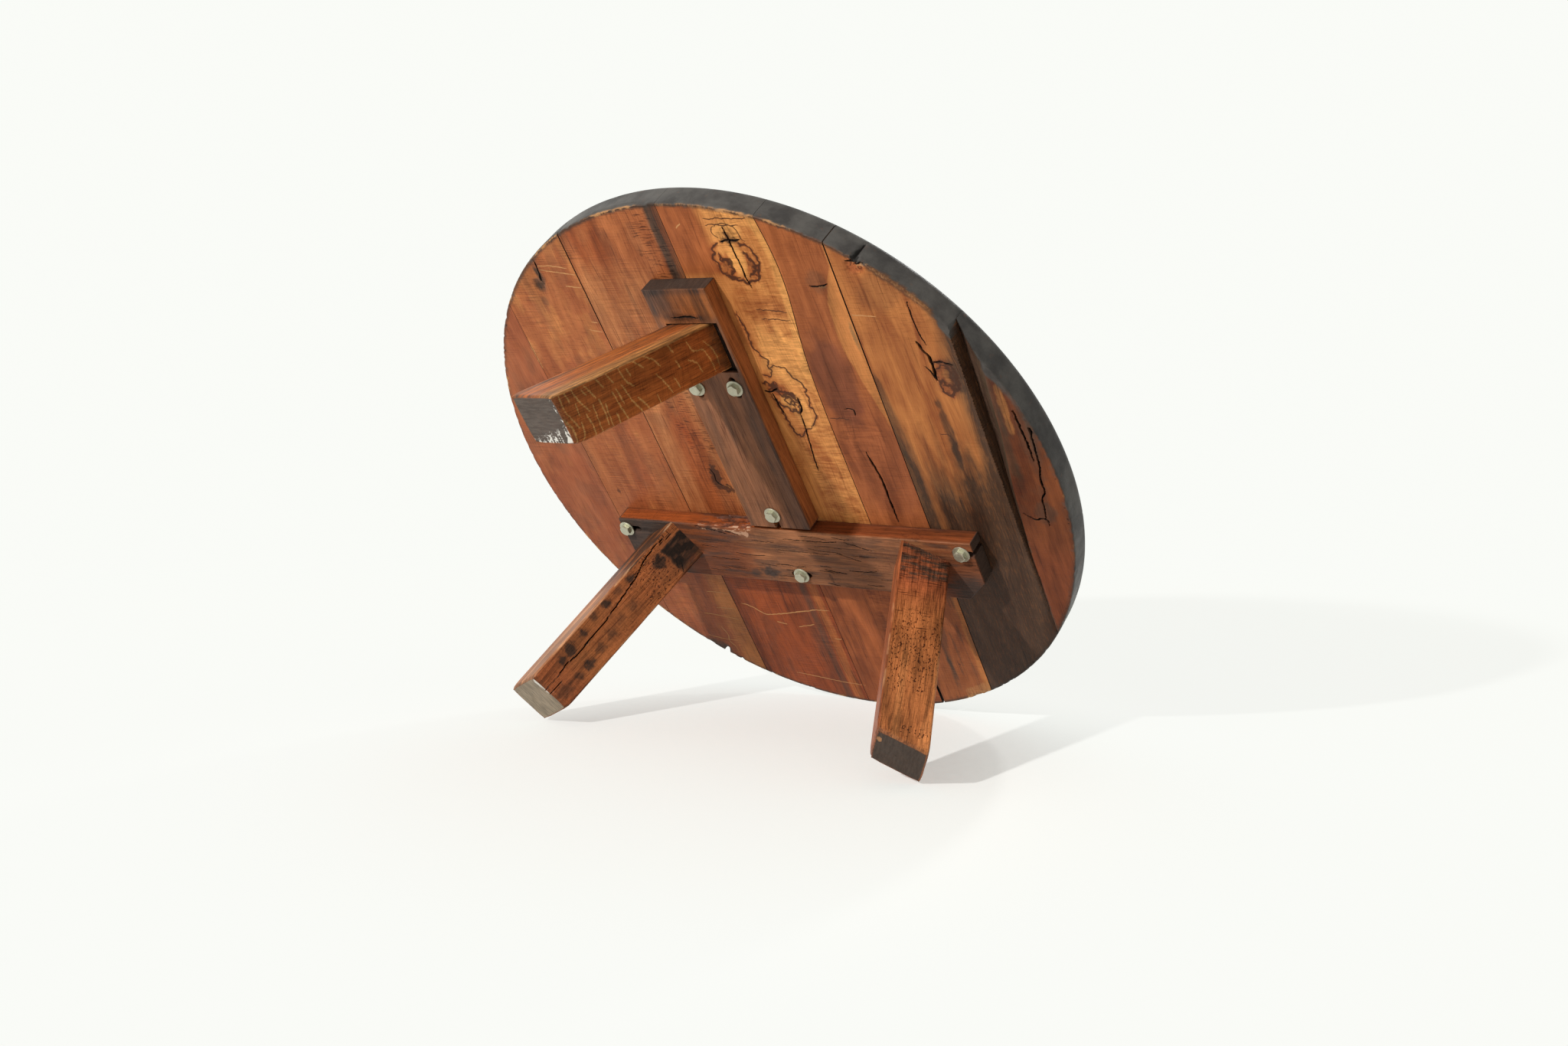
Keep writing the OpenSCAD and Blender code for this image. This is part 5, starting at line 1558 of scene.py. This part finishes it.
class TripodBoards(bpy.types.PropertyGroup):
    """Colours of the seven boards of the top"""

    gold: colour_prop("Golden wood", "Palest wood, of the fourth board", (0.72, 0.31, 0.090))
    orange: colour_prop("Orange wood", "Orange-brown of the first boards", (0.50, 0.160, 0.055))
    red: colour_prop("Red wood", "Red-brown of the fifth and last boards", (0.44, 0.138, 0.045))
    roughness: bpy.props.FloatProperty(
        name="Roughness", description="How dull the wax is", default=0.45, min=0, max=1, subtype="FACTOR")


class TripodUnderframe(bpy.types.PropertyGroup):
    """Colours of the beams, legs and fittings"""

    beam: colour_prop("Beam wood", "Taupe brown of the beams", (0.27, 0.113, 0.055))
    leg: colour_prop("Leg wood", "Orange-brown of the legs", (0.52, 0.170, 0.052))
    stem_leg: colour_prop("Stem leg wood", "Brown of the quarter-sawn leg", (0.59, 0.170, 0.041))


class TripodStudio(bpy.types.PropertyGroup):
    """Light and camera of the studio"""

    key: bpy.props.FloatProperty(
        name="Key lamp", description="Power of the key lamp", default=545.0, min=0, unit="POWER")
    top: bpy.props.FloatProperty(
        name="Top lamp", description="Power of the narrow lamp over the face of the top", default=250.0, min=0,
        unit="POWER")
    fill: bpy.props.FloatProperty(
        name="Fill", description="Strength of the even light from all round", default=0.50, min=0, max=2)
    lens: bpy.props.FloatProperty(
        name="Lens", description="Focal length of the camera", default=40.06, min=10, max=200, unit="CAMERA")


class TripodTable(bpy.types.PropertyGroup):
    """Settings of the tripod coffee table"""

    boards: bpy.props.PointerProperty(type=TripodBoards, name="Boards", description="Finish of the top")
    under: bpy.props.PointerProperty(type=TripodUnderframe, name="Underframe", description="Finish of beams and legs")
    studio: bpy.props.PointerProperty(type=TripodStudio, name="Studio", description="Light and camera")


def settings(context):
    return context.scene.tripod_table


# ---- operators ----
class TRIPOD_OT_boards(bpy.types.Operator):
    """Builds the seven boards of the round top"""

    bl_idname = "tripod.boards"
    bl_label = "Boards of the top"

    def execute(self, context):
        s = settings(context).boards
        gold, orange, red = (tuple(c) for c in (s.gold, s.orange, s.red))
        finishes = (
            dict(pale=shade(orange, 0.84, 0.83, 0.96), deep=(0.21, 0.054, 0.0195), streaks=0.25, seed=1.0, blotches=0.6,
                 saw=0.6, vessels=0.2, fibre=0.7),
            dict(pale=shade(orange, 0.91, 0.94, 0.93), deep=(0.252, 0.067, 0.021), streaks=0.2, seed=2.3, blotches=0.7,
                 saw=0.8, vessels=0.4, fibre=0.7),
            dict(pale=shade(orange, 1.06, 1.30, 1.36), deep=(0.235, 0.062, 0.019), streaks=0.3, seed=3.1, blotches=0.6,
                 saw=0.9, vessels=0.9, fibre=0.8, rings=0.5, heart=(0.26, 0.050, 0.011)),
            dict(pale=gold, deep=(0.34, 0.105, 0.029), streaks=0.45, seed=4.7, blotches=0.9, saw=0.5, vessels=0.6,
                 heart=(0.27, 0.060, 0.019), sap=(0.68, 0.31, 0.09)),
            dict(pale=red, deep=(0.19, 0.050, 0.016), streaks=0.4, seed=5.9, blotches=0.7, saw=0.5,
                 heart=(0.19, 0.050, 0.021), sap=(0.50, 0.19, 0.055)),
            dict(pale=shade(gold, 0.76, 0.67, 0.66), deep=(0.24, 0.066, 0.020), seed=6.4, blotches=0.6, vessels=0.7,
                 rings=0.5, stain=(0.049, 0.028, 0.018)),
            dict(pale=shade(red, 0.47), deep=(0.072, 0.019, 0.009), streaks=0.5, seed=7.7, blotches=0.8, vessels=0.7,
                 heart=(0.18, 0.046, 0.018)),
        )
        for i, finish in enumerate(finishes):
            board_piece(i, wood_material(f"board {i + 1} wood", rough=s.roughness, **finish))
        return {"FINISHED"}


class TRIPOD_OT_dowels(bpy.types.Operator):
    """Gives the hidden dowels and leg screws their finish"""

    bl_idname = "tripod.dowels"
    bl_label = "Dowels and leg screws"

    def execute(self, context):
        beech = wood_material("beech dowel", (0.62, 0.42, 0.24), (0.45, 0.27, 0.13), own_place=True, rings=0.2,
                              gap=0.004, seed=9.0)
        finishes = {"seam_dowels": beech, "leg_screws": zinc_material("leg screw steel")}
        for name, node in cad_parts.items():
            for start, finish in finishes.items():
                if name.startswith(start):
                    node.data.materials.clear()
                    node.data.materials.append(finish)
        return {"FINISHED"}


class TRIPOD_OT_beams(bpy.types.Operator):
    """Builds the two slotted beams under the top"""

    bl_idname = "tripod.beams"
    bl_label = "Beams"

    def execute(self, context):
        c = tuple(settings(context).under.beam)
        common = dict(streaks=0.8, fibre=1.15, blotches=0.6, rough=0.5, scuffs=0.2, end_tint=(0.062, 0.041, 0.031),
                      sap=(0.38, 0.155, 0.065), stain=(0.050, 0.033, 0.026), raw=(0.47, 0.27, 0.17))
        stem_wood = wood_material("stem beam wood", c, shade(c, 0.48), seed=11.0, vessels=0.8,
                                  heart=(0.34, 0.112, 0.032), **common)
        cross_wood = wood_material("cross beam wood", shade(c, 1.20, 1.13, 1.0), shade(c, 0.45), seed=13.0, vessels=0.6,
                                   heart=(0.232, 0.049, 0.0092), **common)
        slots = [slot_path(screw) for screw in SCREWS]
        half = TENON_W / 2 + 0.2
        stem, left, right = ((root_square(az, half, half), MORTISE_TOP, ()) for az in LEG_AZ.values())
        # the recess for the stem leg runs out beside it, where the tool came in
        reach = LEG_W / math.cos(SPLAY) / 2
        lo, hi, runout = -reach - RECESS * math.tan(SPLAY) - 1, reach + 1, 14
        recess = root_square(LEG_AZ["leg_stem"], (hi - lo) / 2, (LEG_W + 2 + runout) / 2, (lo + hi) / 2, runout / 2)
        step = 2.2
        outline = stem_outline(step)
        x, y = outline.T
        edges = np.where((y < STEM[0] + 0.5) | (y > STEM[1] - 0.5), 0.7, 2.0)
        edges[(np.abs(x) < 12) & (y < -20)] = 0.5
        beam_piece("stem_beam_sawn", "stem_beam", outline, edges, slots[:2], [(recess, Z_FACE + RECESS, [stem])],
                   stem_wood)
        outline = cross_outline(step)
        x, y = outline.T
        edges = np.where(np.abs(x) > CROSS[2] - 0.5, 0.8, np.maximum(2.0, (y > CROSS[1] - 1) * tear_depth(x)))
        edges[(x < -290) & (np.abs(y + 102) < 8)] = 0.5
        beam_piece("cross_beam_sawn", "cross_beam", outline, edges, slots[3:5], [left, right], cross_wood)
        return {"FINISHED"}


class TRIPOD_OT_legs(bpy.types.Operator):
    """Builds the three splayed legs"""

    bl_idname = "tripod.legs"
    bl_label = "Legs"

    def execute(self, context):
        s = settings(context).under
        leg, stem, paint_left = tuple(s.leg), tuple(s.stem_leg), (0.72, 0.70, 0.64)
        left = wood_material(
            "left leg wood", shade(leg, 0.84), shade(leg, 0.26), seed=15.0, fibre=1.0, streaks=0.8, vessels=0.9,
            end_tint=(0.27, 0.22, 0.155), sap=(0.50, 0.23, 0.11), raw=(0.55, 0.32, 0.17), paint=paint_left,
            heart=(0.25, 0.062, 0.022), stain=(0.040, 0.020, 0.012))
        right = wood_material(
            "right leg wood", shade(leg, 1.12), shade(leg, 0.34), seed=17.0, fibre=1.6, vessels=0.9, blotches=0.8,
            end_tint=(0.045, 0.034, 0.026), sap=(0.66, 0.25, 0.08), raw=(0.45, 0.22, 0.10), heart=(0.29, 0.070, 0.026))
        quarter = wood_material(
            "stem leg wood", stem, shade(stem, 0.36), seed=19.0, fibre=1.3, streaks=0.8, end_tint=(0.078, 0.066, 0.056),
            sap=(0.62, 0.33, 0.11), raw=(0.60, 0.28, 0.10), paint=paint_left, heart=(0.30, 0.075, 0.018), rough=0.38)
        leg_piece("leg_stem_sawn", "leg_stem", Z_FACE + RECESS, quarter)
        leg_piece("leg_left_sawn", "leg_left", Z_FACE, left)
        leg_piece("leg_right_sawn", "leg_right", Z_FACE, right)
        return {"FINISHED"}


class TRIPOD_OT_fittings(bpy.types.Operator):
    """Builds the coach screws and their washers"""

    bl_idname = "tripod.fittings"
    bl_label = "Coach screws and washers"

    def execute(self, context):
        hardware(zinc_material("coach screw zinc"), zinc_material("washer zinc"))
        return {"FINISHED"}


# ---- studio ----
KEY_PLACE, TOP_PLACE, TOP_AIM = (0.5847, 3.5520, -1.6032), (0, 0, 4.6), (0, 0, Z_TOP * MM)
# camera, from the photograph's perspective: its place, and the ways right, down and ahead
EYE = (-1.59080, 1.46012, -1.30460)
EYE_RIGHT, EYE_DOWN = (-0.8140227, -0.3431315, 0.4686447), (-0.0574481, -0.7553298, -0.6528220)
EYE_AHEAD = (0.5779851, -0.5583347, 0.5951434)
WHITE, GLOW = (0.955, 0.968, 0.93), (1.0, 1.012, 0.975)
FLOOR_R = 9.0
DIM_SHIFT = (-0.1395, 0.0133, -0.0192)  # from the middle of the floor to where its shade is deepest


def floor_plane():
    """The floor under the tipped table: through the lowest corners of two feet and against the rim. Gives a point and
    the way up."""
    low = []
    for node in ("leg_left", "leg_right"):
        out, side = lean(LEG_AZ[node])
        c = out * (ROOT_R + Z_FACE * math.tan(SPLAY))
        w = LEG_W / 2 / math.cos(SPLAY)
        q = [c + out * w * p + side * LEG_W / 2 * s for p in (1, -1) for s in (1, -1)]
        low.append(min(q, key=lambda p: 0.81 * p[1] + 0.586 * p[2]))
    a, b = low
    t = np.linspace(0, 2 * math.pi, 1441)
    rim = np.stack([TOP_R * np.cos(t), TOP_R * np.sin(t), np.full_like(t, Z_UNDER + ROUND_LOW)], 1)
    e = (b - a) / np.linalg.norm(b - a)
    across = np.cross(e, [0, 0, 1.0])
    best = None
    for k in np.linspace(0, math.pi, 3601):
        n = across * math.cos(k) + np.cross(e, across) * math.sin(k)
        n = n if n[1] > 0 else -n
        n = n / np.linalg.norm(n)
        least = ((rim - a) @ n).min()
        if least >= 0 and (best is None or least < best[0]):
            best = (least, n)
    return a * MM, best[1]


def seen_rays(g):
    """1 for the rays that show a surface to the camera, directly, mirrored or through glass."""
    ray = g.add("LightPath").outputs
    return g.math("MAXIMUM", ray["Is Camera Ray"],
                  g.math("MAXIMUM", ray["Is Glossy Ray"], ray["Is Transmission Ray"]))


def floor_material(s, middle):
    """White floor: shaded by the object, lifted towards white where the camera sees it, and clear from below."""
    m, g = new_material("studio floor white")
    seen = seen_rays(g)
    where = g.add("NewGeometry").outputs

    def away(point):
        return g.add("VectorMath", {0: where["Position"], 1: point}, operation="DISTANCE").outputs["Value"]

    edge = g.span(away(tuple(middle)), 1.9, 2.6)
    # the lamp's light falls off with the cube of the distance along the floor; the paint makes up for it
    near = g.math("POWER", g.math("DIVIDE", away(KEY_PLACE), 4.24), 3.0)
    grit = g.noise(where["Position"], 60.0, 4.0, 0.7)
    dim = g.span(away(tuple(middle + Vector(DIM_SHIFT))), 0.3, 0.82, 0.66, 0.13)
    paint = g.math("MINIMUM", g.mul(g.mul(dim, g.plus(0.9, g.mul(grit, 0.2))), near), 0.8)
    light = g.plus(g.math("DIVIDE", s.key * 0.000708, near), s.fill * 0.93)
    lift = g.minus(0.955, g.mul(paint, light))
    paint = g.plus(g.mul(seen, paint), g.mul(g.minus(1.0, seen), 0.8))
    diffuse = g.add("BsdfDiffuse", {"Color": g.rgb(paint, paint, g.mul(paint, 0.96))}).outputs[0]
    glow = g.add("Emission", {"Color": GLOW, "Strength": g.mul(seen, lift)}).outputs[0]
    lit = g.add("AddShader", {0: diffuse, 1: glow}).outputs[0]
    white = g.add("Emission", {"Color": WHITE, "Strength": seen}).outputs[0]
    spread = g.add("MixShader", {0: edge, 1: lit, 2: white}).outputs[0]
    clear = g.add("BsdfTransparent").outputs[0]
    both = g.add("MixShader", {0: where["Backfacing"], 1: spread, 2: clear}).outputs[0]
    g.add("OutputMaterial", {"Surface": both})
    return m


class TRIPOD_OT_studio(bpy.types.Operator):
    """Sets the camera, the pale floor and the lamps"""

    bl_idname = "tripod.studio"
    bl_label = "Studio"

    def execute(self, context):
        s = settings(context).studio
        scene = context.scene
        cam = bpy.data.cameras.new("studio camera")
        cam.lens, cam.sensor_width, cam.clip_end = s.lens, 36.0, 60
        right, down, ahead = (np.array(v) for v in (EYE_RIGHT, EYE_DOWN, EYE_AHEAD))
        scene.camera = self.add("studio camera", cam)
        scene.camera.matrix_world = (Matrix.Translation(EYE)
                                     @ Matrix([right, -down, -ahead]).transposed().to_4x4())
        # floor
        at, up = floor_plane()
        middle = Vector(up) * float(np.dot(at, up))
        mesh = bpy.data.meshes.new("studio floor")
        n = 96
        rim = [(FLOOR_R * math.cos(2 * math.pi * k / n), FLOOR_R * math.sin(2 * math.pi * k / n), 0) for k in range(n)]
        mesh.from_pydata([(0, 0, 0)] + rim, [], [(0, k + 1, (k + 1) % n + 1) for k in range(n)])
        mesh.materials.append(floor_material(s, middle))
        floor = self.add("studio floor", mesh)
        floor.matrix_world = Matrix.Translation(middle) @ Vector(up).to_track_quat("Z", "Y").to_matrix().to_4x4()
        # lamps
        self.lamp("key lamp", "POINT", s.key, KEY_PLACE, 0.07)
        light, lamp = self.lamp("top lamp", "SPOT", s.top, TOP_PLACE, 0.3)
        light.spot_size, light.spot_blend = math.radians(17), 0.6
        lamp.rotation_mode = "QUATERNION"
        lamp.rotation_quaternion = (Vector(TOP_AIM) - Vector(TOP_PLACE)).to_track_quat("-Z", "Y")
        # even light from all round, and white behind
        world = scene.world = bpy.data.worlds.new("studio world")
        world.use_nodes = True
        world.node_tree.nodes.clear()
        g = Graph(world.node_tree)
        strength = g.plus(g.mul(seen_rays(g), 1.0 - s.fill), s.fill)
        sky = g.add("Background", {"Color": WHITE, "Strength": strength})
        g.add("OutputWorld", {"Surface": sky.outputs[0]})
        scene.view_settings.view_transform = "Standard"
        return {"FINISHED"}

    def add(self, name, data):
        obj = bpy.data.objects.new(name, data)
        bpy.context.scene.collection.objects.link(obj)
        return obj

    def lamp(self, name, kind, power, place, size):
        light = bpy.data.lights.new(name, kind)
        light.energy, light.shadow_soft_size = power, size
        obj = self.add(name, light)
        obj.location = place
        return light, obj


class TRIPOD_PT_panel(bpy.types.Panel):
    """Lists the pieces of the table and the studio"""

    bl_idname = "TRIPOD_PT_panel"
    bl_label = "Tripod table"
    bl_space_type = "VIEW_3D"
    bl_region_type = "UI"
    bl_category = "Tripod table"

    def draw(self, context):
        s = settings(context)
        for op in OPERATORS:
            self.layout.operator(op.bl_idname)
        for part, names in ((s.boards, ("gold", "orange", "red", "roughness")), (s.under, ("beam", "leg", "stem_leg")),
                            (s.studio, ("key", "top", "fill", "lens"))):
            box = self.layout.box()
            for name in names:
                box.prop(part, name)


OPERATORS = (TRIPOD_OT_studio, TRIPOD_OT_boards, TRIPOD_OT_dowels, TRIPOD_OT_beams, TRIPOD_OT_legs, TRIPOD_OT_fittings)
CLASSES = (TripodBoards, TripodUnderframe, TripodStudio, TripodTable) + OPERATORS + (TRIPOD_PT_panel,)


def register():
    for c in CLASSES:
        bpy.utils.register_class(c)
    bpy.types.Scene.tripod_table = bpy.props.PointerProperty(
        type=TripodTable, name="Tripod table", description="Settings of the tripod table")


def unregister():
    del bpy.types.Scene.tripod_table
    for c in reversed(CLASSES):
        bpy.utils.unregister_class(c)


def main():
    register()
    bpy.ops.tripod.studio()
    bpy.ops.tripod.boards()
    bpy.ops.tripod.dowels()
    bpy.ops.tripod.beams()
    bpy.ops.tripod.legs()
    bpy.ops.tripod.fittings()


if __name__ == "__main__":
    main()
